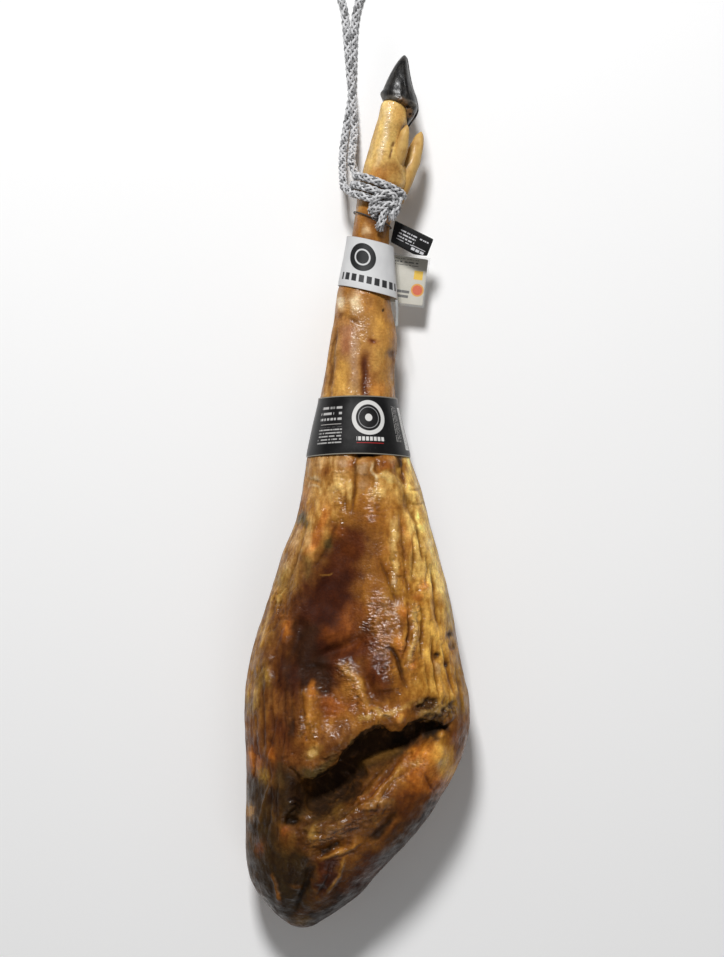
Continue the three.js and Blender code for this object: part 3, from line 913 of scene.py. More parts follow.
def sculpt_folds(piece):
    """Fine folds, crinkles and grain. Returns what the colours need: grooves and ridges."""
    points = smooth_points(piece, get_points(piece), 2)
    set_points(piece, points)
    normals = get_normals(piece)
    upward = smooth_step(normals[:, 2], 0.0, 0.45)
    plan = wandering(points, seen_from_above(points), 1.0)
    height = np.zeros(len(points))
    for amount, width, line in FINE_FOLDS:
        height += amount * stroke(plan, line, width)
    crinkled = region(plan, CRINKLES)
    streaky = region(plan, STREAKS)
    calm = region(plan, SMOOTH_PLACES)
    crumbly = region(plan, CRUMBLY)
    body = 1 - smooth_step(points[:, 1], 80, 130)
    lengthwise = rough_noise(points / (1, 6, 1), 4.2, 41)
    turned = points @ np.array([[0.72, 0.69, 0], [-0.69, 0.72, 0], [0, 0, 1]])
    diagonal = rough_noise(turned / (5, 1, 1), 4.0, 44)
    low = smooth_step(plan[:, 1], -235, -275) * smooth_step(plan[:, 0], -75, -45)
    fibres = lengthwise * (1 - low) + diagonal * low
    lumps = rough_noise(points, 11, 51)
    crumple = 1 - 2 * np.abs(rough_noise(points / (1.5, 1, 1), 4.5, 61, 2))
    along = points / (1, 3.4, 1) * (1 - low)[:, None] + turned / (3.0, 1, 1) * low[:, None]
    wrinkle = np.clip(1 - np.abs(rough_noise(along, 6.5, 131, 2)) / 0.10, 0, 1)
    wrinkle *= smooth_step(rough_noise(points, 16, 151, 2), -0.35, 0.25)
    crumbs = rough_noise(points, 5.5, 141, 3)
    relief = upward * height
    relief += (0.4 + 0.6 * upward) * body * (1 - 0.7 * calm) * (
        (0.20 + 0.22 * streaky) * fibres + 0.55 * lumps - (0.12 + 0.55 * streaky) * wrinkle
    )
    relief += upward * crinkled * 0.7 * crumple
    relief += upward * cavity_weight(plan, 6, -22, 4) * (0.8 * diagonal + 0.8 * lumps)
    relief += upward * crumbly * 3.4 * crumbs
    relief += (1 - body) * (0.25 * lumps + 0.10 * fibres)
    x, y = points[:, 0], points[:, 1]
    places = {"band": y, "sleeve": y - lean(SLEEVE, x), "rope": y - lean(WRAP, x)}
    for name, (start, end) in PRESSED.items():
        place = places[name]
        bound = smooth_step(place, start - 2, start + 2) * smooth_step(place, end + 2, end - 2)
        relief = relief * (1 - bound) - PRESSED_IN * bound
    points = points + normals * relief[:, None]
    rests = points[:, 2] < 0.15
    points[rests, 2] = np.maximum(points[rests, 2], 0)
    set_points(piece, points)
    return {"height": height * upward, "fibres": fibres, "lumps": lumps, "streaky": streaky,
            "calm": calm, "crumbly": crumbly * upward, "crumbs": crumbs, "wrinkle": wrinkle,
            "crumple": crumple * crinkled}


# ---------------------------------------------------------------- the leg's colours

RIND = (0.205, 0.098, 0.030)
FOOT_SKIN = (0.46, 0.26, 0.085)
# The lit tops of crumbs, as painted light.
CRUST = (0.24, 0.15, 0.06)
# Painted light: brown on fibre ridges inside the painted shade of the pocket.
LIT_FIBRE_IN_SHADE = (0.05, 0.019, 0.005)
PALE_GOLD = (0.74, 0.48, 0.15)
FAT = (0.92, 0.59, 0.155)
APRICOT = (0.66, 0.26, 0.035)
CREAM = (0.76, 0.58, 0.34)
GOLD = (0.49, 0.245, 0.058)
YELLOW = (0.64, 0.33, 0.060)
AMBER = (0.32, 0.128, 0.022)
ORANGE = (0.52, 0.165, 0.022)
OLIVE = (0.27, 0.155, 0.036)
TAN = (0.44, 0.245, 0.095)
BROWN = (0.145, 0.050, 0.012)
RUST = (0.24, 0.066, 0.014)
RED_BROWN = (0.092, 0.022, 0.005)
MAROON = (0.046, 0.0095, 0.0025)
DARK = (0.027, 0.010, 0.0035)
BLACKISH = (0.010, 0.005, 0.0025)
PINK = (0.42, 0.18, 0.09)
GREY_PINK = (0.42, 0.25, 0.14)
MOULD = (0.085, 0.064, 0.026)
GREY_BROWN = (0.085, 0.050, 0.024)
RAW_RED = (0.130, 0.024, 0.007)
# Dark olive of the rump's low end: partly its own colour, partly painted shade where it turns from
# the light.
OLIVE_AND_SHADE = (0.042, 0.021, 0.007)

# Each row: colour, strength, half-width, line. Later rows lie over earlier ones.
WASHES = [
    (PALE_GOLD, 1.0, 46, [(20, 305), (27, 335), (35, 380)]),
    (AMBER, 0.9, 26, [(0, 240), (12, 262), (24, 286)]),
    (GOLD, 0.85, 40, [(0, 90), (5, 120), (6, 150)]),
    (AMBER, 0.5, 30, [(2, 170), (6, 190)]),
    (TAN, 0.9, 24, [(-38, 28), (-34, 8)]),
    (GOLD, 0.7, 24, [(-26, 2), (-45, -40)]),
    (GOLD, 0.5, 16, [(30, 4), (38, -20)]),
    (AMBER, 0.9, 28, [(14, -24), (16, -60), (18, -120)]),
    (TAN, 0.7, 20, [(-60, -48), (-70, -86)]),
    (OLIVE, 0.8, 19, [(-80, -90), (-94, -140), (-102, -200)]),
    (GOLD, 0.6, 9, [(-84, -96), (-98, -145), (-106, -190)]),
    (FAT, 0.95, 21, [(60, 20), (67, -30), (78, -70), (86, -110)]),
    (YELLOW, 0.85, 28, [(60, -110), (74, -160), (82, -198)]),
    (OLIVE, 0.5, 9, [(94, -110), (102, -160), (108, -200)]),
    (BROWN, 0.8, 17, [(-74, -120), (-80, -160), (-80, -230)]),
    (BROWN, 0.6, 26, [(22, -140), (22, -180)]),
    (AMBER, 0.7, 20, [(40, -120), (44, -180), (36, -206)]),
    (BROWN, 0.7, 27, [(-4, -54), (-18, -84), (-26, -110)]),
    (RED_BROWN, 1.0, 19, [(-6, -52), (-19, -76), (-29, -104)]),
    (RED_BROWN, 1.0, 32, [(-32, -106), (-35, -140), (-43, -180), (-47, -198)]),
    (RED_BROWN, 0.9, 18, [(4, -150), (-20, -158)]),
    (MAROON, 1.0, 22, [(-28, -90), (-38, -120), (-45, -150), (-47, -190)]),
    (DARK, 0.7, 13, [(-52, -140), (-57, -170), (-62, -200)]),
    (RUST, 0.35, 9, [(-58, -196), (-60, -216)]),
    (DARK, 0.7, 13, [(-38, -172), (-34, -192)]),
    (RUST, 0.45, 12, [(0, -116), (-8, -138)]),
    (RED_BROWN, 0.85, 14, [(15, -176), (21, -198)]),
    (RUST, 0.7, 14, [(-30, -212), (-12, -216)]),
    (BROWN, 0.85, 16, [(-62, -214), (-64, -236)]),
    (AMBER, 0.75, 9, [(-46, -200), (-43, -238)]),
    (AMBER, 0.85, 15, [(-40, -250), (-26, -240), (-4, -226)]),
    (BROWN, 0.75, 16, [(-56, -262), (-38, -258), (-14, -238)]),
    (AMBER, 0.75, 11, [(8, -214), (34, -214), (60, -208)]),
    (BROWN, 0.45, 11, [(10, -220), (36, -222), (60, -212), (74, -206)]),
    (BROWN, 0.3, 14, [(30, -96), (34, -124)]),
    (RED_BROWN, 0.85, 17, [(-80, -236), (-74, -272)]),
    (BROWN, 0.7, 20, [(-76, -262), (-74, -300)]),
    # Below the flap's left end: dark olive and painted shade.
    (OLIVE_AND_SHADE, 0.9, 18, [(-72, -284), (-64, -314)]),
    (DARK, 0.8, 9, [(-62, -284), (-58, -300)]),
    (AMBER, 0.8, 15, [(-20, -320), (8, -300), (36, -274), (56, -256)]),
    (BROWN, 0.6, 11, [(4, -290), (30, -268)]),
    # Painted shade under the right end of the lip.
    (BLACKISH, 1.0, 11, [(40, -251), (62, -240), (80, -230)]),
    (APRICOT, 0.9, 15, [(68, -257), (80, -268)]),
    (ORANGE, 0.8, 14, [(60, -266), (76, -284)]),
    (ORANGE, 0.5, 8, [(58, -246), (66, -250)]),
    (YELLOW, 0.8, 9, [(84, -252), (89, -270)]),
    (BROWN, 0.8, 12, [(97, -220), (102, -246)]),
    (RUST, 0.7, 10, [(44, -300), (66, -284)]),
    (BROWN, 0.8, 17, [(-52, -338), (-26, -330), (6, -318), (30, -304)]),
    (BROWN, 0.9, 18, [(-98, -244), (-98, -280)]),
    (OLIVE_AND_SHADE, 0.9, 20, [(-98, -296), (-94, -340)]),
    (OLIVE_AND_SHADE, 0.95, 28, [(-92, -360), (-74, -395)]),
    (OLIVE_AND_SHADE, 0.95, 20, [(-60, -366), (-62, -405)]),
    (BROWN, 0.8, 16, [(-10, -392), (16, -356), (44, -322)]),
    # Painted shade along the rump's far edge, which faces away from the light.
    (DARK, 0.95, 17, [(-40, -424), (-16, -410), (22, -376), (54, -342), (84, -304)]),
    (RED_BROWN, 0.6, 10, [(48, -310), (62, -298)]),
    (RED_BROWN, 0.6, 12, [(-6, -384), (14, -362)]),
    (RED_BROWN, 0.95, 13, [(-30, -362), (-32, -384)]),
    (MAROON, 0.5, 10, [(-30, -364), (-36, -386)]),
    (BROWN, 0.4, 8, [(-54, -414)]),
]

MARKS = [
    (CREAM, 0.65, 3.2, [(29, 378), (28, 352), (22, 326), (18, 316)]),
    (GOLD, 0.6, 6, [(40, 376), (40, 350)]),
    (AMBER, 0.75, 9, [(20, 306), (40, 318)]),
    (ORANGE, 0.4, 7, [(12, 312), (24, 308)]),
    # Painted shade in the crease between the dewclaw and the foot.
    (BROWN, 0.8, 3, [(46, 352), (49, 334), (48, 314)]),
    (DARK, 0.75, 2.4, [(45, 356), (48, 340)]),
    (BROWN, 0.9, 1.4, [(36, 341), (34, 334)]),
    (BROWN, 0.9, 1.3, [(33, 332), (31, 325)]),
    (BROWN, 0.7, 6, [(8, 266), (22, 262)]),
    (DARK, 0.6, 5, [(16, 264), (30, 254)]),
    # Painted highlight on the foot below the knot.
    (CREAM, 0.4, 4, [(8, 256), (9, 250)]),
    (CREAM, 0.75, 5, [(-17, 190), (-15, 180)]),
    (CREAM, 0.75, 5, [(-4, 190), (0, 176)]),
    (BROWN, 0.75, 4, [(-19, 174), (-13, 171)]),
    (BROWN, 0.65, 3.4, [(-6, 168), (-2, 163)]),
    (PINK, 0.8, 7, [(-12, 162), (-10, 142), (-10, 132)]),
    (GREY_PINK, 0.7, 4.5, [(-1, 160), (-3, 140), (-4, 112), (-3, 96)]),
    (RUST, 0.5, 3, [(-11, 148), (-10, 134)]),
    (YELLOW, 0.5, 5, [(-16, 128), (-17, 98)]),
    (BROWN, 0.75, 1.5, [(-22, 158), (-25, 125), (-28, 92)]),
    (BROWN, 0.7, 1.3, [(-29, 146), (-33, 110), (-36, 92)]),
    (TAN, 0.6, 1.5, [(-25.5, 150), (-28.5, 125), (-31, 94)]),
    (RUST, 0.6, 7.0, [(8, 138), (8, 116), (6.5, 100), (8, 90)]),
    (RAW_RED, 0.85, 4.2, [(7, 134), (8, 116), (6.5, 100), (8, 88)]),
    (RUST, 0.5, 6, [(13, 118), (15, 100)]),
    (ORANGE, 0.45, 7, [(16, 97), (27, 99)]),
    (YELLOW, 0.35, 8, [(24, 170), (26, 156)]),
    (RUST, 0.8, 4, [(10, 147), (18, 144)]),
    (RAW_RED, 0.8, 2.2, [(14, 147), (17, 144)]),
    (BLACKISH, 0.95, 1.1, [(25, 176)]),
    # Painted shade under the heel bump.
    (BROWN, 0.6, 7, [(34, 138), (37, 126)]),
    (BROWN, 0.5, 4, [(37, 136), (38, 112)]),
    (GREY_PINK, 0.75, 6, [(-14, 32), (-12, 22)]),
    (RUST, 0.55, 6, [(-32, 24), (-30, 16)]),
    (RUST, 0.6, 3.6, [(-6, 32), (-6, 22)]),
    (PINK, 0.5, 5, [(-50, 6), (-52, -8)]),
    (CREAM, 0.5, 1.8, [(-47, 14), (-38, 13)]),
    (CREAM, 0.5, 1.5, [(-48, 6), (-38, 5)]),
    (GREY_PINK, 0.85, 7, [(5, 28), (6, 16)]),
    (GREY_PINK, 0.5, 4, [(8, 10), (3, 2)]),
    (CREAM, 0.6, 1.4, [(14, 28), (19, 12)]),
    (RUST, 0.8, 9, [(28, 30), (30, 20)]),
    (ORANGE, 0.4, 7, [(29, 28), (31, 22)]),
    (GREY_PINK, 0.5, 3.5, [(31, 32), (30, 26)]),
    # Painted shadow in the gap under the band's lower edge.
    (BLACKISH, 0.95, 3, [(-3, 36), (8, 36), (18, 36)]),
    (DARK, 0.9, 2.6, [(39, 34), (41, 22)]),
    (BROWN, 0.9, 3, [(41, 20), (43, 2), (48, -12)]),
    (RUST, 0.7, 2.6, [(45, 30), (45, 6)]),
    (BROWN, 0.7, 2.0, [(49, -14), (55, -30), (58, -44)]),
    (PALE_GOLD, 0.6, 2.6, [(53, 26), (57, 10), (58, 2)]),
    (PALE_GOLD, 0.5, 2.4, [(-7, 10), (-7, -10)]),
    (PALE_GOLD, 0.6, 2.4, [(19, 15), (26, 16), (35, 12), (42, 4), (46, -8)]),
    (PALE_GOLD, 0.45, 6, [(-18, 14), (-18, 0)]),
    (PALE_GOLD, 0.5, 7, [(22, 4), (20, -6)]),
    (ORANGE, 0.75, 4.2, [(-28, -14), (-33, -28), (-41, -44), (-47, -62)]),
    (MOULD, 0.8, 4, [(-56, -22), (-52, -28)]),
    (MOULD, 0.7, 4.5, [(-60, -26), (-46, -34)]),
    (MOULD, 0.8, 5, [(-29, -46), (-28, -56)]),
    (MOULD, 0.4, 5, [(-50, -62), (-48, -88)]),
    (RUST, 0.5, 5, [(-26, -34), (-14, -42)]),
    (GOLD, 0.4, 0.9, [(-40, -80), (-24, -80.5)]),
    (BROWN, 0.6, 5, [(-38, -72), (-46, -90)]),
    (PALE_GOLD, 0.5, 3.2, [(37, -22), (36, -52), (37, -80)]),
    (CREAM, 0.6, 2.2, [(34, -80), (37, -92)]),
    (ORANGE, 0.5, 3.4, [(44, -24), (46, -44)]),
    (ORANGE, 0.45, 4, [(50, -38), (52, -58)]),
    (PALE_GOLD, 0.55, 5, [(67, -44), (70, -58)]),
    (PALE_GOLD, 0.5, 4, [(76, -70), (82, -100)]),
    (ORANGE, 0.8, 5, [(63, -88), (66, -96)]),
    (ORANGE, 0.75, 5, [(58, -100), (60, -106)]),
    (ORANGE, 0.8, 5, [(45, -116), (46, -122)]),
    (ORANGE, 0.75, 4.4, [(41, -142), (43, -158)]),
    (ORANGE, 0.8, 4, [(53, -168), (55, -174)]),
    (PALE_GOLD, 0.55, 2.2, [(55, -110), (57, -126), (57, -144), (52, -156), (50, -168)]),
    (YELLOW, 0.6, 4, [(70, -98), (70, -130)]),
    (OLIVE, 0.5, 4, [(86, -96), (90, -128)]),
    # Painted shade inside two holes.
    (DARK, 0.95, 2.6, [(78, -160)]),
    (DARK, 0.95, 2.2, [(87, -168)]),
    (DARK, 0.8, 3.2, [(90, -138), (90, -144)]),
    (DARK, 0.8, 2.6, [(92, -151)]),
    (CREAM, 0.45, 2.0, [(77, -166), (78, -180)]),
    # Painted shade in the groove beside the glossy patch.
    (DARK, 0.55, 2.6, [(30, -151), (38, -162), (44, -178)]),
    (GOLD, 0.7, 4, [(-14, -170), (-4, -178), (2, -190), (9, -206)]),
    (BROWN, 0.7, 5, [(14, -190), (26, -206)]),
    (RUST, 0.5, 6, [(-12, -122), (-8, -136)]),
    (RUST, 0.5, 6, [(-34, -134), (-22, -146)]),
    (AMBER, 0.6, 3, [(-45, -188), (-42, -216)]),
    (ORANGE, 0.5, 3.2, [(-44, -186), (-44, -200)]),
    (MAROON, 0.75, 6, [(-62, -168), (-58, -205)]),
    (MAROON, 0.55, 3, [(-72, -150), (-76, -210)]),
    (DARK, 0.7, 4, [(-66, -222), (-64, -240)]),
    (ORANGE, 0.5, 5, [(-70, -125), (-70, -142)]),
    (OLIVE, 0.6, 6, [(-92, -172), (-92, -192)]),
    (BROWN, 0.5, 2.4, [(-92, -190), (-93, -236)]),
    (ORANGE, 0.7, 6, [(-100, -254), (-100, -272)]),
    (ORANGE, 0.6, 4, [(-84, -248), (-82, -262)]),
    (OLIVE, 0.6, 5, [(-95, -268), (-92, -282)]),
    (GREY_BROWN, 0.6, 4, [(-74, -262), (-78, -280)]),
    (GREY_BROWN, 0.8, 4.5, [(-56, -272), (-42, -276), (-30, -268)]),
    (MOULD, 0.6, 3.4, [(-54, -274), (-42, -276), (-31, -268), (-22, -259)]),
    (PALE_GOLD, 0.5, 5, [(-48, -258), (-40, -250)]),
    # Painted highlights along the lip's rim and ridge.
    (PALE_GOLD, 0.4, 2.4, [(0, -222), (14, -220)]),
    (PALE_GOLD, 0.35, 3, [(14, -212), (26, -218), (40, -214), (54, -206)]),
    (ORANGE, 0.9, 5.5, [(38, -224), (44, -223)]),
    (YELLOW, 0.7, 3, [(42, -222)]),
    (DARK, 0.7, 4.5, [(62, -207), (72, -205), (80, -206)]),
    (GREY_BROWN, 0.85, 7, [(66, -216), (80, -218)]),
    (DARK, 0.7, 3, [(84, -214), (94, -207)]),
    (TAN, 0.5, 3, [(74, -209), (78, -213)]),
    (OLIVE, 0.6, 6, [(98, -200), (102, -218)]),
    (RUST, 0.6, 5, [(92, -236), (96, -248)]),
    (RUST, 0.5, 3, [(6, -300), (20, -290), (42, -264)]),
    (BROWN, 0.4, 4, [(20, -304), (36, -284), (54, -272)]),
    (GOLD, 0.5, 3.4, [(14, -306), (28, -286), (47, -266)]),
    (PALE_GOLD, 0.5, 4, [(50, -268), (62, -264)]),
    (PALE_GOLD, 0.5, 5, [(80, -268), (88, -262)]),
    (ORANGE, 0.6, 8, [(54, -286), (72, -284)]),
    (GOLD, 0.7, 6, [(-26, -314), (-14, -310)]),
    (GOLD, 0.7, 7, [(-48, -336), (-38, -332)]),
    (PALE_GOLD, 0.5, 4, [(-46, -338), (-42, -330)]),
    (TAN, 0.6, 5, [(20, -300), (34, -306)]),
    (RUST, 0.7, 5, [(-72, -330), (-68, -334)]),
    # Painted shade in the slit at the lower left.
    (BLACKISH, 0.9, 4.5, [(-70, -321), (-58, -322)]),
    (RUST, 0.5, 5, [(-96, -342), (-95, -352)]),
    (GOLD, 0.7, 5, [(-105, -306), (-104, -318)]),
    # Painted shade in the recesses along the crest.
    (BLACKISH, 0.9, 4, [(-38, -353), (-16, -342)]),
    (BLACKISH, 0.85, 3.5, [(8, -342), (24, -332), (36, -314)]),
    (GOLD, 0.5, 1.8, [(-36, -359), (-18, -353), (0, -344)]),
    # Painted light along the facet's lit edge.
    (GOLD, 0.6, 1.6, [(-13, -357), (-17, -374), (-29, -391)]),
    # Painted shade in the crease beside the facet.
    (BLACKISH, 0.85, 2.4, [(-44, -366), (-50, -382), (-60, -408)]),
    (AMBER, 0.7, 2.2, [(-83, -374), (-80, -384), (-78, -394)]),
    (ORANGE, 0.5, 2.2, [(-78, -392), (-76, -400)]),
    (OLIVE, 0.5, 4, [(-60, -418), (-46, -420)]),
    (BROWN, 0.6, 1.8, [(-66, -386), (-56, -386)]),
]

# Fat that shines: strength, half-width, line.
WET_PLACES = [
    (0.9, 7, [(18, 5), (16, -8)]),
    (0.7, 5, [(15, -8), (14, -26)]),
    (0.6, 6, [(-17, 16), (-17, -30)]),
    (0.9, 5, [(36, -78), (37, -94)]),
    (0.9, 5, [(61, -92)]),
    (1.0, 13, [(20, -110), (28, -124)]),
    (0.8, 4, [(41, -140), (43, -158)]),
    (0.7, 3, [(57, -110), (57, -146)]),
    (1.0, 13, [(16, -132), (24, -148)]),
    (1.0, 12, [(22, -152), (28, -176)]),
    (1.0, 8, [(-16, -170), (-8, -184), (0, -200)]),
    (0.9, 4, [(56, -112), (57, -145), (51, -170)]),
    (0.9, 5, [(56, -184)]),
    (1.0, 5, [(42, -194)]),
    (1.0, 5, [(4, -222), (16, -220)]),
    (1.0, 5, [(24, -216), (34, -218)]),
    (1.0, 5, [(4, -210), (-4, -213)]),
    (1.0, 4, [(-44, -228), (-43, -238)]),
    (0.9, 5, [(-55, -224), (-54, -236)]),
    (0.8, 5, [(56, -268), (64, -265)]),
    (0.7, 5, [(30, -256)]),
    (0.7, 4, [(32, -307)]),
    (0.6, 9, [(-30, -338), (0, -316)]),
    (0.6, 6, [(-16, 186), (0, 176)]),
    (0.7, 3, [(29, 372), (24, 330)]),
]

# Where the surface is duller than elsewhere: strength, half-width, line.
DULL_PLACES = [
    (0.45, 22, [(-34, -90), (-32, -146)]),
    (0.3, 12, [(-66, -160), (-68, -190)]),
    (0.3, 14, [(60, -290), (30, -330)]),
]


def body_weight(points):
    """1 on the meat below the band, 0 on the shank and foot."""
    return (1 - smooth_step(points[:, 1], 60, 120))[:, None]


def towards(colours, colour, weight):
    """Moves colours towards another in place."""
    colours += (np.array(colour) - colours) * weight


def meat_colours(points, shape, broad, close, dark, streaks):
    """Meat side: washes and marks, painted shade in the pocket, then painted light and shade by
    relief.
    """
    meat = np.tile(np.array(AMBER), (len(points), 1))
    for colour, strength, width, line in WASHES:
        weight = strength * stroke(broad, line, width, 3, False)[:, None]
        towards(meat, colour, np.minimum(weight * 1.15, 1))
    for colour, strength, width, line in MARKS:
        weight = strength * stroke(close, line, width, 3)[:, None]
        towards(meat, colour, weight)
    # Painted shade: the pocket under the lip goes near black, with lit fibre streaks in it.
    towards(meat, np.array(BLACKISH) + np.array(LIT_FIBRE_IN_SHADE) * streaks, dark * 0.96)

    body = body_weight(points)
    streaky = shape["streaky"][:, None]
    calm = shape["calm"][:, None]
    drift = rough_noise(points / (1, 1.7, 1), 9, 101)
    fine = rough_noise(points / (1, 2.2, 1), 3.2, 111)
    contrast = (0.20 + body * (0.16 + 0.16 * streaky)) * (1 - 0.45 * calm)
    wave = (1.1 * drift + 0.8 * fine + 0.35 * shape["fibres"])[:, None]
    meat *= np.exp(contrast * wave * (0.75, 1.0, 1.2))
    # Painted light and shade by the relief: lighter on lumps, ridges and crinkle tops, darker in
    # grooves and wrinkles.
    meat *= 1 + 0.14 * shape["lumps"][:, None]
    groove = np.clip(-shape["height"][:, None] / 2.0, 0, 1)
    ridge = np.clip(shape["height"][:, None] / 3.0, 0, 1)
    meat *= 1 - 0.62 * groove * (1, 1.1, 1.2)
    towards(meat, GOLD, 0.22 * ridge * body)
    creased = shape["wrinkle"][:, None] * body * (0.10 + 0.34 * streaky)
    meat *= 1 - creased * (0.9, 1.1, 1.25)
    meat *= 1 + 0.25 * shape["crumple"][:, None]
    # Crumbly places: raised crumbs lit in the crust colour, the gaps between them in painted
    # shade.
    crumbly = shape["crumbly"][:, None]
    lit = smooth_step(shape["crumbs"], -0.1, 0.5)[:, None]
    crust = np.array(DARK) + (np.array(CRUST) - DARK) * lit
    towards(meat, crust, crumbly * 0.8)
    # Painted shade: darker towards the rump end, which turns away from the light. The last factor
    # also takes blue out of darker meat.
    rump = smooth_step(points[:, 1], -320, -385)[:, None]
    warm = body * smooth_step(meat[:, :1], 0.62, 0.28)
    meat *= (1 - 0.32 * rump) * (1 - warm * (0, 0.07, 0.38))
    return meat


def skin_colours(points, normals):
    """The skin side: brown rind, paler towards the foot, with dark blotches and some mould."""
    skin = np.tile(np.array(RIND), (len(points), 1))
    foot = smooth_step(points[:, 1], 40, 170)[:, None]
    towards(skin, FOOT_SKIN, foot)
    blotch = rough_noise(points, 38, 71, 4)[:, None]
    towards(skin, DARK, np.clip(blotch * 0.9, 0, 0.5) * (1 - foot))
    mould = rough_noise(points, 13, 81, 4)
    mouldy = smooth_step(mould, 0.55, 1.0)[:, None] * 0.6 * (1 - foot)
    mouldy *= smooth_step(normals[:, 2], -0.25, -0.7)[:, None]
    towards(skin, np.array(GREY_PINK) * 0.6, mouldy)
    return skin


def wetness(points, close, calm, upward, dark, streaks):
    """From -1 for dry to 1 for a film of melted fat."""
    wet = 0.10 - 0.45 * calm
    for strength, width, line in WET_PLACES:
        wet = np.maximum(wet, strength * stroke(close, line, width, 4, False))
    for strength, width, line in DULL_PLACES:
        wet -= strength * stroke(close, line, width, 4, False)
    wet += 0.25 * rough_noise(points, 7, 91)
    wet += (1.2 * streaks - 0.7 - wet) * dark
    wet -= 0.3 * (1 - upward)
    return np.clip(wet, -1, 1)


def paint_leg(piece, shape):
    """Stores the leg's colours and what its finish needs to know at each point."""
    points = get_points(piece)
    normals = get_normals(piece)
    seen = seen_from_above(points)
    broad = wandering(points, seen, 5.0)
    close = wandering(points, seen, 2.2)
    upward = smooth_step(normals[:, 2], -0.1, 0.35)
    # Painted shade in the pocket under the lip, reaching further below its lower edge on the left.
    reach = 16 + 16 * smooth_step(points[:, 0], 20, -50)
    dark = cavity_weight(broad, 2.5, -reach, 5)
    streaks = smooth_step(shape["fibres"], 0.0, 1.2)
    meat = meat_colours(points, shape, broad, close, dark[:, None], streaks[:, None])
    skin = skin_colours(points, normals)
    add_colour(piece, "paint", skin + (meat - skin) * upward[:, None])
    add_number(piece, "wet", wetness(points, close, shape["calm"], upward, dark, streaks))
    add_number(piece, "skin", 1 - upward)
    add_number(piece, "streaky", shape["streaky"] * body_weight(points)[:, 0])


cured_leg = copy_of_node("cured_leg", "ham_leg", meat_finish())
remesh(cured_leg, LEG_VOXEL)
sculpt_forms(cured_leg)
remesh(cured_leg, LEG_FINE_VOXEL)
paint_leg(cured_leg, sculpt_folds(cured_leg))
finish_piece(cured_leg, "ham_leg")

# ---------------------------------------------------------------- horn

# One main claw, from its heel bulb to its tip: place along y, x of its two edges, height.
CLAW_STATIONS = [
    (353.5, 44.5, 46.5, 4), (356, 43.8, 48.6, 8), (360, 44, 51.6, 12), (365, 45, 55.2, 15),
    (369, 45.5, 57.6, 17.5), (373, 43.5, 58.8, 19.6), (375.6, 38, 58.6, 21.5),
    (377.6, 29, 58.4, 22.8), (380, 25.4, 58.0, 23.4), (385.5, 23.0, 56.8, 22.8),
    (388.6, 22.4, 55.8, 22.0), (391, 24.8, 54.8, 21.2), (396, 26.8, 53.2, 19.8),
    (402, 29.4, 51.8, 17.8), (408, 32.4, 50.6, 15.4), (414, 35.8, 49.6, 12.6),
    (419, 39.2, 48.9, 9.8), (423, 42.4, 48.2, 6.6), (425.4, 44.6, 47.2, 3.0),
    (426, 45.6, 46.4, 0.8),
]
CLAW_MIDDLE = 51.0
CLAW_GAP = 0.25


def build_claw(name, node, material, side, shift):
    """One claw: crowned walls over a flat inner face, a worn rim and a cracked heel."""
    stations = np.array(CLAW_STATIONS, float)
    along = np.linspace(stations[0, 0], stations[-1, 0], 110)
    low_x, high_x, tall = (np.interp(along, stations[:, 0], stations[:, i]) for i in (1, 2, 3))
    for values in (low_x, high_x, tall):
        for _ in range(3):
            values[1:-1] = (values[:-2] + 2 * values[1:-1] + values[2:]) / 4
    angles = np.linspace(0, np.pi, 36)
    across = np.sign(np.cos(angles)) * np.abs(np.cos(angles)) ** 0.8
    raised = np.sin(angles) ** 0.75
    flat = np.linspace(-1, 1, 16)[1:-1]
    across = np.concatenate([across, flat])
    raised = np.concatenate([raised, np.zeros(len(flat))])
    middle, half = (low_x + high_x) / 2, (high_x - low_x) / 2
    x = middle[:, None] + half[:, None] * across
    z = CLAW_MIDDLE + side * (CLAW_GAP + tall[:, None] * raised)
    y = np.repeat(along[:, None], len(across), axis=1)
    rings = np.stack([x, y, z], axis=-1) + (*shift, 0)
    piece = add_mesh(name, rings.reshape(-1, 3), tube_faces(len(along), len(across), 0), material)
    remesh(piece, 0.6)
    points = smooth_points(piece, get_points(piece), 3)
    plan = points[:, :2] - shift
    away = smooth_step(side * (points[:, 2] - CLAW_MIDDLE), 1, 6)
    rim = stroke(plan, [(22, 386), (27, 381), (36, 380), (46, 377.5), (56, 374)], 2.4, 3, False)
    ridge = stroke(plan, [(45.5, 416), (47, 398), (50, 382)], 2.2)
    crack = stroke(plan, [(42, 377), (48, 372), (51, 366)], 4.5, 4, False)
    cracks = 1 - 2 * np.abs(rough_noise(points, 3.0, 17, 2))
    normals = get_normals(piece)
    height = 0.7 * rim + 0.6 * ridge + 0.9 * crack * cracks - 0.6 * stroke(
        plan, [(24, 379), (34, 377.6), (44, 375), (52, 370)], 1.6, 2, False)
    height += 0.14 * rough_noise(points / (1, 3, 1), 3.2, 7)
    set_points(piece, points + normals * (height * away)[:, None])
    worn = np.maximum(rim * (0.6 + 0.5 * rough_noise(points, 4, 9)), 0.9 * crack)
    colour = np.tile(np.array((0.16, 0.14, 0.115)), (len(points), 1))
    brown = np.where(cracks[:, None] > 0.2, (0.16, 0.085, 0.035), (0.03, 0.016, 0.008))
    colour += (brown - colour) * crack[:, None]
    add_colour(piece, "paint", colour)
    add_number(piece, "worn", np.clip(worn, 0, 1))
    finish_piece(piece, node)


hoof_material = horn_finish("hoof_horn", (0.007, 0.0066, 0.0066), (0.016, 0.0145, 0.013),
                            (0.075, 0.062, 0.048), 0.2)
build_claw("claw_upper", "hoof_claw_upper", hoof_material, 1, (0, 0))
build_claw("claw_lower", "hoof_claw_lower", hoof_material, -1, (1.2, -1))

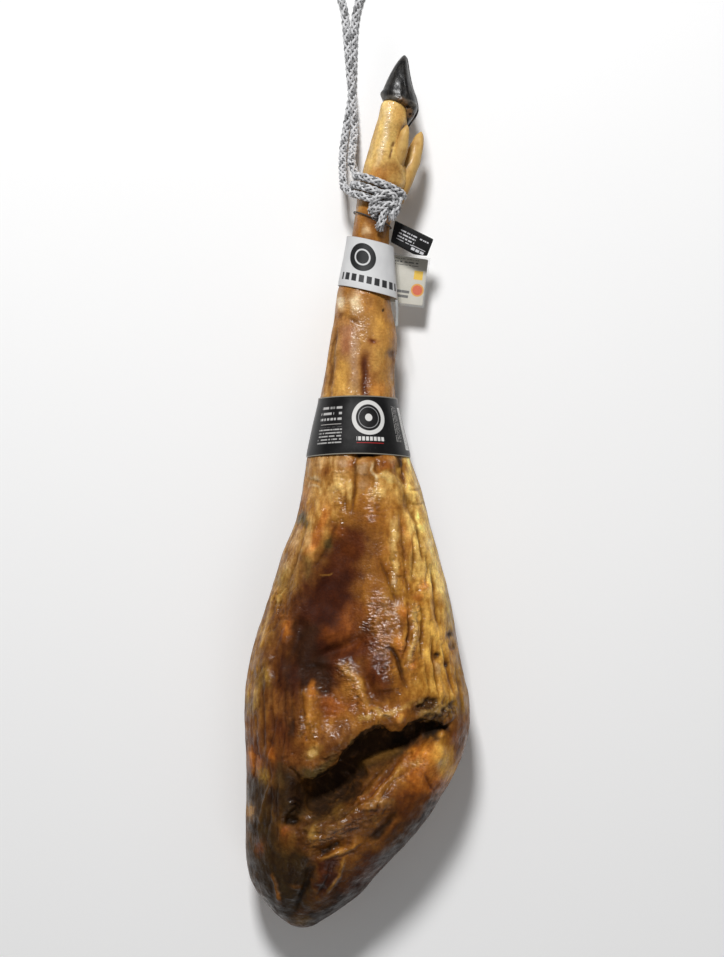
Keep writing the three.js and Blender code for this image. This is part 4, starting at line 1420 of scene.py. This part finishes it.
amber_material = horn_finish("amber_horn", (0.60, 0.375, 0.115), (0.42, 0.225, 0.058),
                             (0.70, 0.50, 0.22), 0.42)

# Each dewclaw: points along its middle, with half its width and half its height there.
DEWCLAWS = {
    "dewclaw_upper": [(36, 308, 58, 5, 5), (39, 320, 63, 7.4, 6.6), (42, 331, 66.5, 6.8, 6.4),
                      (44.6, 341, 68.6, 5.6, 5.2), (46.6, 348.5, 69.4, 4.3, 3.8),
                      (47.8, 353, 69.4, 2.6, 2.2), (48.4, 355, 69.4, 0.6, 0.5)],
    "dewclaw_lower": [(38, 284, 50, 7, 7), (43, 298, 50, 8.8, 8.6), (49, 312, 48.5, 9.0, 8.6),
                      (54, 325, 46.5, 8.2, 7.6), (57.8, 336, 44.8, 6.9, 6.2),
                      (60.4, 344.5, 43.5, 5.3, 4.8), (61.8, 350, 42.8, 3.2, 2.8),
                      (62.4, 352.4, 42.4, 0.7, 0.6)],
}


def build_dewclaw(name, node):
    """A blunt horn that swells out of the foot and narrows to a round tip."""
    stations = np.array(DEWCLAWS[node], float)
    share = np.linspace(0, len(stations) - 1, 46)
    steps = np.arange(len(stations))
    rows = np.column_stack([np.interp(share, steps, stations[:, i]) for i in range(5)])
    for _ in range(6):
        rows[1:-1] = (rows[:-2] + 2 * rows[1:-1] + rows[2:]) / 4
    _, up, side = path_frames(rows[:, :3])
    angles = 2 * np.pi * np.arange(36) / 36
    rings = (rows[:, None, :3] + side[:, None] * (rows[:, 3:4] * np.cos(angles))[..., None]
             + up[:, None] * (rows[:, 4:5] * np.sin(angles))[..., None])
    piece = add_mesh(name, rings.reshape(-1, 3), tube_faces(len(rows), 36, 0), amber_material)
    points = get_points(piece)
    points += get_normals(piece) * (0.5 * rough_noise(points / (1, 2.0, 1), 5, 13))[:, None]
    set_points(piece, points)
    low = points[:, 1].min()
    root = 1 - smooth_step(points[:, 1], low + 4, low + 30)
    add_colour(piece, "paint", np.tile(np.array((0.40, 0.21, 0.055)), (len(points), 1)))
    add_number(piece, "worn", 0.85 * root)
    finish_piece(piece, node)


build_dewclaw("dewclaw_near", "dewclaw_upper")
build_dewclaw("dewclaw_far", "dewclaw_lower")

# ---------------------------------------------------------------- printed card

CHARCOAL = (0.012, 0.012, 0.013)
SOFT_WHITE = (0.68, 0.67, 0.65)
TAG_WHITE = (0.58, 0.58, 0.60)
CARD_BROWN = (0.09, 0.085, 0.08)

# Each row of a print: its shape, that shape's numbers, ink. Later rows lie over earlier ones.
SLEEVE_PRINT = [
    ("disc", (-5.4, 224.8, 13.8), CHARCOAL),
    ("ring", (-5.4, 224.8, 7.4, 0.8), (0.6, 0.6, 0.6)),
    ("blocks", (4, 203.6, 30, 3.6, 7.4, 0.33), (0.030, 0.030, 0.032)),
]
BAND_PRINT = [
    ("ring", (10.8, 68.5, 14.6, 2.0), SOFT_WHITE),
    ("ring", (10.8, 68.5, 10.0, 0.3), (0.35, 0.35, 0.35)),
    ("disc", (10.8, 68.5, 3.6), SOFT_WHITE),
    ("blocks", (12.0, 48.2, 13.0, 1.9, 3.6, 0.36), SOFT_WHITE),
    ("box", (11.6, 44.2, 12.5, 0.32), (0.42, 0.025, 0.025)),
    ("rows", (-29, 74, 13, 8, 5.4, 2.0, 0.2), (0.50, 0.49, 0.48)),
    ("box", (-28, 62.6, 12, 0.3), (0.42, 0.40, 0.38)),
    ("rows", (-28, 51.5, 13, 8.4, 3.1, 1.4, 0.2), (0.45, 0.44, 0.43)),
    ("rows", (43, 64, 4.0, 17, 2.4, 1.1, 0.2, True), (0.30, 0.29, 0.28)),
    ("box", (56.5, 60, 4.5, 20), SOFT_WHITE),
    ("rows", (56.5, 60, 3.6, 18.5, 2.0, 1.6, 0.16, True), (0.1, 0.1, 0.1)),
]
TAG_PRINT = [
    ("rows", (-4, 0.4, 9, 5.2, 3.2, 1.7, 0.2), TAG_WHITE),
    ("rows", (13, 4.2, 4.6, 1.6, 3.2, 1.5, 0.2), TAG_WHITE),
    ("box", (11, -4.0, 7.2, 0.3), TAG_WHITE),
    ("box", (6.2, -6.9, 1.9, 1.3), TAG_WHITE),
    ("box", (11, -6.9, 1.9, 1.3), TAG_WHITE),
    ("box", (15.8, -6.9, 1.9, 1.3), TAG_WHITE),
]
CARD_PRINT = [
    ("rows", (-3, 17.6, 12, 3.2, 3.2, 1.7, 0.2), CARD_BROWN),
    ("rows", (-6.5, -14, 9.5, 4.4, 4.6, 2.2, 0.3), CARD_BROWN),
    ("box", (9.8, 6.2, 4.4, 4.4), (0.80, 0.50, 0.01)),
    ("disc", (10.6, -8.4, 6.4), (0.72, 0.33, 0.02)),
    ("disc", (10.6, -8.4, 4.9), (0.66, 0.09, 0.006)),
]


class Print:
    """Plain printed shapes on a card, from two numbers that it carries in millimetres."""

    def __init__(self, finish):
        self.finish = finish
        self.u = finish.number("print_u")
        self.v = finish.number("print_v")

    def near(self, value, middle, half, soft=PRINT_EDGE):
        """1 where a value is within half of the middle."""
        away = self.finish.math("ABSOLUTE", self.finish.math("SUBTRACT", value, middle))
        return self.finish.between(away, half + soft, half - soft)

    def box(self, u, v, half_u, half_v):
        return self.finish.math(
            "MULTIPLY", self.near(self.u, u, half_u), self.near(self.v, v, half_v)
        )

    def reach(self, u, v):
        du = self.finish.math("SUBTRACT", self.u, u)
        dv = self.finish.math("SUBTRACT", self.v, v)
        squares = self.finish.math(
            "ADD", self.finish.math("MULTIPLY", du, du), self.finish.math("MULTIPLY", dv, dv)
        )
        return self.finish.math("SQRT", squares)

    def disc(self, u, v, radius):
        reach = self.reach(u, v)
        return self.finish.between(reach, radius + PRINT_EDGE, radius - PRINT_EDGE)

    def ring(self, u, v, radius, half):
        return self.near(self.reach(u, v), radius, half)

    def blocks(self, u, v, half_u, half_v, pitch, half_share):
        """A row of equal blocks."""
        phase = self.finish.math("FRACT", self.finish.math("DIVIDE", self.u, pitch))
        return self.finish.math("MULTIPLY", self.near(phase, 0.5, half_share, 0.02),
                                self.box(u, v, half_u, half_v))

    def rows(self, u, v, half_u, half_v, pitch, dash, thick, upright=False):
        """Rows of broken bars in a box."""
        finish = self.finish
        across, along = (self.v, self.u) if upright else (self.u, self.v)
        row = finish.math("DIVIDE", along, pitch)
        phase = finish.math("FRACT", row)
        line = self.near(phase, 0.5, thick, 0.06)
        place = finish.node("ShaderNodeCombineXYZ")
        finish.put(place.inputs["X"], across)
        finish.put(place.inputs["Y"], finish.math("MULTIPLY", finish.math("FLOOR", row), 7.31))
        words = finish.noise(dash / MM, 0.0, 0.5, place.outputs["Vector"])
        broken = finish.between(words, 0.39, 0.43)
        return finish.math("MULTIPLY", finish.math("MULTIPLY", line, broken),
                           self.box(u, v, half_u, half_v))

    def over(self, colour, marks):
        """The colour with the marks printed on it."""
        shapes = {"disc": self.disc, "ring": self.ring, "box": self.box,
                  "rows": self.rows, "blocks": self.blocks}
        for shape, numbers, ink in marks:
            colour = self.finish.mix(shapes[shape](*numbers), colour, ink)
        return colour

    def cut_edges(self, colour, low, high, half, strength, board):
        """The colour with the board showing along both cut edges."""
        edge = self.finish.math("ADD", self.near(self.v, low, half), self.near(self.v, high, half))
        return self.finish.mix(self.finish.math("MULTIPLY", edge, strength), colour, board)


def card_loop(name, node, sizes, bend, material):
    """Card round the leg, on the surface of its node. `bend` shifts it along by its X."""
    surface = surface_of(node)
    columns = CARD_COLUMNS
    rows, low, high = sizes["rows"], sizes["low"], sizes["high"]
    margin = 2.5  # rows nearer to the edges than this take their outline from the row inside
    places = np.linspace(low + CARD_LOOP_INSET, high - CARD_LOOP_INSET, rows + 1)
    outer = np.empty((rows + 1, columns, 3))
    ways = np.empty((rows + 1, columns, 3))
    for r, along in enumerate(places):
        on_card = min(max(along, low + margin), high - margin)
        for c in range(columns):
            degrees = 90 - 360 * c / columns
            outer[r, c], ways[r, c] = point_round(surface, degrees, lambda x: on_card + bend(x), 0)
        outer[r, :, 1] = along + bend(outer[r, :, 0])
    for _ in range(6):
        ways = (np.roll(ways, 1, 1) + ways + np.roll(ways, -1, 1)) / 3
        outer = (np.roll(outer, 1, 1) + 2 * outer + np.roll(outer, -1, 1)) / 4
    dents = rough_noise(outer.reshape(-1, 3) / (1, 2, 1), 16, 17, 2).reshape(rows + 1, columns)
    outer = outer + ways * (0.22 * dents[..., None])
    inner = outer - ways * CARD_LOOP_THICKNESS
    rings = np.concatenate([outer, inner[::-1]])
    faces = grid_faces(2 * (rows + 1), columns, True, True)
    piece = add_mesh(name, rings.reshape(-1, 3), faces, material)
    piece.data.set_sharp_from_angle(angle=math.radians(50))
    middle = outer[rows // 2]
    steps = np.linalg.norm(np.roll(middle, -1, 0) - middle, axis=1)
    around = np.concatenate([[0], np.cumsum(steps)[:-1]])
    around = np.where(around > steps.sum() / 2, around - steps.sum(), around)
    u = np.tile(around, rows + 1)
    u = np.concatenate([u, np.full(len(u), around.max() + UNPRINTED)])
    v = np.concatenate([np.repeat(places, columns), np.repeat(places[::-1], columns)])
    add_number(piece, "print_u", u)
    add_number(piece, "print_v", v)
    return piece


def paper_grain(finish, depth=0.05):
    waves = finish.bump(finish.noise(14, 2), 0.5, 0.3)
    return finish.bump(finish.noise(0.5, 3, 0.6), depth, 0.5, waves)


def white_card_finish():
    finish = Finish("white_card")
    cloud = finish.noise(22, 3)
    paper = finish.mix(finish.between(cloud, 0.4, 0.7), (0.64, 0.64, 0.64), (0.58, 0.58, 0.585))
    art = Print(finish)
    printed = art.over(paper, SLEEVE_PRINT)
    finish.set(
        Base_Color=art.cut_edges(printed, 193.6, 243.4, 0.35, 0.5, (0.42, 0.40, 0.36)),
        Roughness=finish.between(cloud, 0.3, 0.7, 0.42, 0.52),
        Specular_IOR_Level=0.3,
        Normal=paper_grain(finish),
    )
    return finish.material


def black_card_finish(name, marks, edges=None):
    """Black laminated card. `edges` are the places of its two cut edges, if they show."""
    finish = Finish(name)
    cloud = finish.noise(18, 4)
    scuffs = finish.between(finish.noise(2.4, 5, 0.7, finish.stretched(1, 0.3, 1, 20)), 0.6, 0.8)
    clouded = finish.between(cloud, 0.4, 0.7)
    base = finish.mix(clouded, (0.006, 0.0058, 0.006), (0.011, 0.0105, 0.011))
    worn = finish.mix(finish.math("MULTIPLY", scuffs, 0.3), base, (0.09, 0.085, 0.08))
    art = Print(finish)
    colour = art.over(worn, marks)
    if edges:
        colour = art.cut_edges(colour, *edges, 0.4, 0.75, (0.36, 0.33, 0.27))
    finish.set(
        Base_Color=colour,
        Roughness=finish.between(cloud, 0.3, 0.7, 0.3, 0.42),
        Specular_IOR_Level=0.3,
        Normal=paper_grain(finish, 0.04),
    )
    return finish.material


def shaded_pale_card_finish():
    finish = Finish("beige_card")
    cloud = finish.noise(16, 3)
    # The paper's greyed beige stands in for the shade the card lies in: painted shade.
    paper = finish.mix(finish.between(cloud, 0.35, 0.7), (0.60, 0.57, 0.49), (0.52, 0.495, 0.42))
    finish.set(
        Base_Color=Print(finish).over(paper, CARD_PRINT),
        Roughness=finish.between(cloud, 0.3, 0.7, 0.5, 0.62),
        Coat_Weight=0.1,
        Coat_Roughness=0.3,
        Normal=paper_grain(finish),
    )
    return finish.material


def sleeve_bend(x):
    return lean(SLEEVE, x)


def band_bend(x):
    return BAND["arch"] * (1 - (x / BAND["half_width"]) ** 2)


sleeve = card_loop("paper_sleeve", "white_sleeve", SLEEVE, sleeve_bend, white_card_finish())
finish_piece(sleeve, "white_sleeve")
band_material = black_card_finish("black_card", BAND_PRINT, (34.0, 89.0))
band = card_loop("card_band", "black_band", BAND, band_bend, band_material)
finish_piece(band, "black_band")

# ---------------------------------------------------------------- cards and small trim

CARD = {"width": 35.0, "height": 46.0, "thickness": 0.8, "place": (49.6, 207.8, 29.5),
        "tilt": 4.0, "turn": -7.5}
TAG = {"thickness": 0.8, "place": (51.6, 245.7, 49.6), "tilt": 3.0, "turn": -25.8}
TAG_OUTLINE = [(-21.5, 10.5), (-16.3, -10.3), (9.6, -11.3), (21.7, -7.1), (20.3, 10.5)]
CARD_REACH_X = CARD["width"] / 2
CARD_REACH_Y = CARD["height"] / 2


def placed(points, place, tilt, turn):
    """Points of a flat card turned in its plane, tilted across, and put in place."""
    turn, tilt = math.radians(turn), math.radians(tilt)
    flat = np.array([[math.cos(turn), -math.sin(turn), 0], [math.sin(turn), math.cos(turn), 0],
                     [0, 0, 1]])
    side = np.array([[math.cos(tilt), 0, math.sin(tilt)], [0, 1, 0],
                     [-math.sin(tilt), 0, math.cos(tilt)]])
    return np.array(points) @ flat.T @ side.T + np.array(place)


def bow(x, curve):
    """How far a card that is slightly curved across stands off its own plane."""
    return curve * ((x / 20) ** 2 - 0.4)


def rounded_plate(corners, radius, thickness, curve):
    """A thin plate of any convex outline with rounded corners, slightly curved across."""
    outline = []
    count = len(corners)
    for i, corner in enumerate(np.array(corners, float)):
        before = np.array(corners[i - 1], float) - corner
        after = np.array(corners[(i + 1) % count], float) - corner
        start = corner + before / np.linalg.norm(before) * radius
        end = corner + after / np.linalg.norm(after) * radius
        for t in np.linspace(0, 1, 6):
            outline.append((1 - t) ** 2 * start + 2 * t * (1 - t) * corner + t * t * end)
    outline = np.array(outline)
    centre = outline.mean(0)
    rings = [centre + (outline - centre) * share for share in (0.03, 0.35, 0.7, 0.97, 1.0)]
    heights = np.array([0.5, 0.5, 0.5, 0.5, 0.36]) * thickness
    layers = [np.column_stack([ring, np.full(len(ring), h)]) for ring, h in zip(rings, heights)]
    under = [layer * (1, 1, -1) for layer in layers[::-1]]
    points = np.concatenate(layers + under)
    points[:, 2] += bow(points[:, 0], curve)
    columns = len(outline)
    faces = [face[::-1] for face in grid_faces(len(layers) * 2, columns, True)]
    faces.append(tuple(range(columns)))
    faces.append(tuple(reversed(range(len(points) - columns, len(points)))))
    return points, faces


def add_plate(name, corners, radius, spec, material, curve):
    """A flat card. Its underside is moved out of reach of what is printed on it."""
    points, faces = rounded_plate(corners, radius, spec["thickness"], curve)
    points_in_place = placed(points, spec["place"], spec["tilt"], spec["turn"])
    piece = add_mesh(name, points_in_place, faces, material)
    piece.data.set_sharp_from_angle(angle=math.radians(40))
    underside = points[:, 2] < bow(points[:, 0], curve)
    add_number(piece, "print_u", points[:, 0])
    add_number(piece, "print_v", points[:, 1] + UNPRINTED * underside)
    return piece


tag_material = black_card_finish("black_tag_card", TAG_PRINT)
tag = add_plate("hanging_tag", TAG_OUTLINE, 1.4, TAG, tag_material, 0.25)
finish_piece(tag, "black_tag")

card_corners = [(-CARD_REACH_X, CARD_REACH_Y), (-CARD_REACH_X, -CARD_REACH_Y),
                (CARD_REACH_X, -CARD_REACH_Y), (CARD_REACH_X, CARD_REACH_Y)]
card = add_plate("printed_card", card_corners, 1.6, CARD, shaded_pale_card_finish(), 0.2)
finish_piece(card, "info_card")


def film_finish():
    finish = Finish("clear_film")
    ripple = finish.noise(9, 3)
    finish.set(
        Base_Color=(0.80, 0.83, 0.85),
        Alpha=0.09,
        Roughness=finish.between(ripple, 0.3, 0.7, 0.08, 0.2),
        Coat_Weight=0.5,
        Coat_Roughness=0.06,
        Normal=finish.bump(ripple, 0.5, 0.5),
    )
    return finish.material


def build_pouch():
    """Two sheets of clear film welded along three edges, with the card between them."""
    left, right = -CARD_REACH_X - 1, CARD_REACH_X + 2
    low, high = -CARD_REACH_Y - 2, CARD_REACH_Y + 2
    across, up = 24, 30
    layers = []
    for side in (1, -1):
        xs, ys = np.meshgrid(np.linspace(left, right, across), np.linspace(low, high, up))
        edge = np.minimum(np.minimum(xs - left, right - xs), ys - low)
        swell = 0.14 + 0.66 * smooth_step(edge, 0.5, 2.2)
        flat = np.column_stack([xs.ravel(), ys.ravel(), np.zeros(xs.size)])
        crease = 0.05 * rough_noise(flat, 9, 3)
        zs = side * (swell.ravel() + np.abs(crease))
        layers.append(np.column_stack([xs.ravel(), ys.ravel(), zs]))
    faces = grid_faces(up, across)
    count = across * up
    faces += [tuple(count + i for i in face[::-1]) for face in grid_faces(up, across)]
    edge_loop = ([r * across for r in range(up - 1, 0, -1)] + list(range(across))
                 + [r * across + across - 1 for r in range(1, up)])
    for a, b in zip(edge_loop[:-1], edge_loop[1:]):
        faces.append((a, count + a, count + b, b))
    points = placed(np.concatenate(layers), CARD["place"], CARD["tilt"], CARD["turn"])
    return add_mesh("film_pouch", points, faces, film_finish())


pouch = build_pouch()
finish_piece(pouch, "clear_pouch")


def strap_finish():
    finish = Finish("grey_plastic")
    cloud = finish.noise(3, 3)
    finish.set(
        Base_Color=finish.mix(cloud, (0.26, 0.27, 0.265), (0.38, 0.39, 0.385)),
        Roughness=finish.between(cloud, 0.3, 0.7, 0.35, 0.5),
        Subsurface_Weight=0.1,
        Subsurface_Scale=0.001,
        Normal=finish.bump(finish.noise(0.6, 3), 0.06, 0.5),
    )
    return finish.material


def build_strap():
    """A ribbed seal strap that hangs from under the sleeve."""
    steps = 52
    along = np.linspace(0, 1, steps)
    centres = np.column_stack([38 + 0.5 * np.sin(np.pi * along), 185.8 - 25.6 * along,
                               66 + 0.25 * np.sin(2 * np.pi * along)])
    _, up, side = path_frames(centres)
    rib = 0.42 - 0.09 * (np.arange(steps) % 2)
    angles = 2 * np.pi * np.arange(16) / 16
    wide = np.sign(np.cos(angles)) * np.abs(np.cos(angles)) ** 0.35 * 1.25
    high = np.sign(np.sin(angles)) * np.abs(np.sin(angles)) ** 0.35
    rings = (centres[:, None] + side[:, None] * wide[None, :, None]
             + up[:, None] * (rib[:, None] * high[None, :])[..., None])
    piece = add_mesh("strap", rings.reshape(-1, 3), tube_faces(steps, 16, 0), strap_finish())
    piece.data.set_sharp_from_angle(angle=math.radians(50))
    return piece


strap = build_strap()
finish_piece(strap, "seal_strap")


def cord_finish():
    finish = Finish("black_cord")
    yarn = finish.noise(0.5, 3, 0.6)
    finish.set(
        Base_Color=finish.mix(yarn, (0.012, 0.010, 0.009), (0.05, 0.042, 0.036)),
        Roughness=0.6,
        Sheen_Weight=0.25,
        Normal=finish.bump(yarn, 0.15, 0.6),
    )
    return finish.material


def build_tag_cord():
    """Two plies twisted together, tied round the leg."""
    def place(x):
        return TAG_CORD["at"] + lean(TAG_CORD, x)

    ring = [point_round(leg_surface, d, place, 1.35)[0] for d in np.linspace(200, -160, 49)]
    path = even_path(ring, TAG_CORD["step"])
    _, up, side = path_frames(path, (-1, 0, 0))
    turn = np.arange(len(path)) * TAG_CORD["step"] * 2 * np.pi / TAG_CORD["lay"]
    points, faces = [], []
    for ply in (0, np.pi):
        out = up * np.cos(turn + ply)[:, None] + side * np.sin(turn + ply)[:, None]
        first = sum(len(p) for p in points)
        points.append(tube_rings(path + out * 0.36, up, side, TAG_CORD["ply"], TAG_CORD["ply"], 8))
        faces.extend(tube_faces(len(path), 8, first))
    return add_mesh("tag_string", np.vstack(points), faces, cord_finish())


tag_string = build_tag_cord()
finish_piece(tag_string, "tag_cord")

# ---------------------------------------------------------------- floor, light and eye


def floor_finish():
    finish = Finish("pale_floor")
    cloud = finish.noise(400, 3)
    finish.set(
        Base_Color=finish.mix(cloud, (0.93, 0.93, 0.93), (0.95, 0.95, 0.95)),
        Roughness=0.85,
        Normal=finish.bump(finish.noise(3, 3), 0.05, 0.2),
    )
    return finish.material


FLOOR_REACH = 4000.0
FLOOR_DROP = 0.5  # below the ham's lowest point
floor_corners = [(x * FLOOR_REACH, y * FLOOR_REACH, -FLOOR_DROP)
                 for x, y in ((-1, -1), (1, -1), (1, 1), (-1, 1))]
floor = add_mesh("floor", floor_corners, [(0, 1, 2, 3)], floor_finish())

# Each soft box: name, place, the point it faces, side, power.
SOFT_BOXES = [
    ("key", (-350, 2050, 2500), (0, -40, 60), 560, 99),
    ("low_fill", (500, -1900, 2300), (60, -500, 0), 1500, 10),
]
ROOM_LIGHT = 0.13


def soft_light(name, place, target, side, power):
    """A square soft box that faces its target."""
    light = bpy.data.lights.new(name, "AREA")
    light.shape = "SQUARE"
    light.size = side * MM
    light.energy = power
    lamp = bpy.data.objects.new(name, light)
    lamp.location = Vector(place) * MM
    lamp.rotation_euler = (Vector(target) - Vector(place)).to_track_quat("-Z", "Y").to_euler()
    bpy.context.scene.collection.objects.link(lamp)


for box in SOFT_BOXES:
    soft_light(*box)

world = bpy.data.worlds.new("studio")
world.use_nodes = True
background = world.node_tree.nodes["Background"]
background.inputs["Color"].default_value = (1, 1, 1, 1)
background.inputs["Strength"].default_value = ROOM_LIGHT
scene = bpy.context.scene
scene.world = world
scene.view_settings.view_transform = "Standard"

lens = bpy.data.cameras.new("eye")
lens.lens = LENS
lens.sensor_width = 36.0
lens.clip_end = 50.0
eye = bpy.data.objects.new("eye", lens)
eye.location = Vector((*VIEW_CENTRE, VIEW_PLANE + VIEW_HEIGHT_ABOVE)) * MM
scene.collection.objects.link(eye)
scene.camera = eye
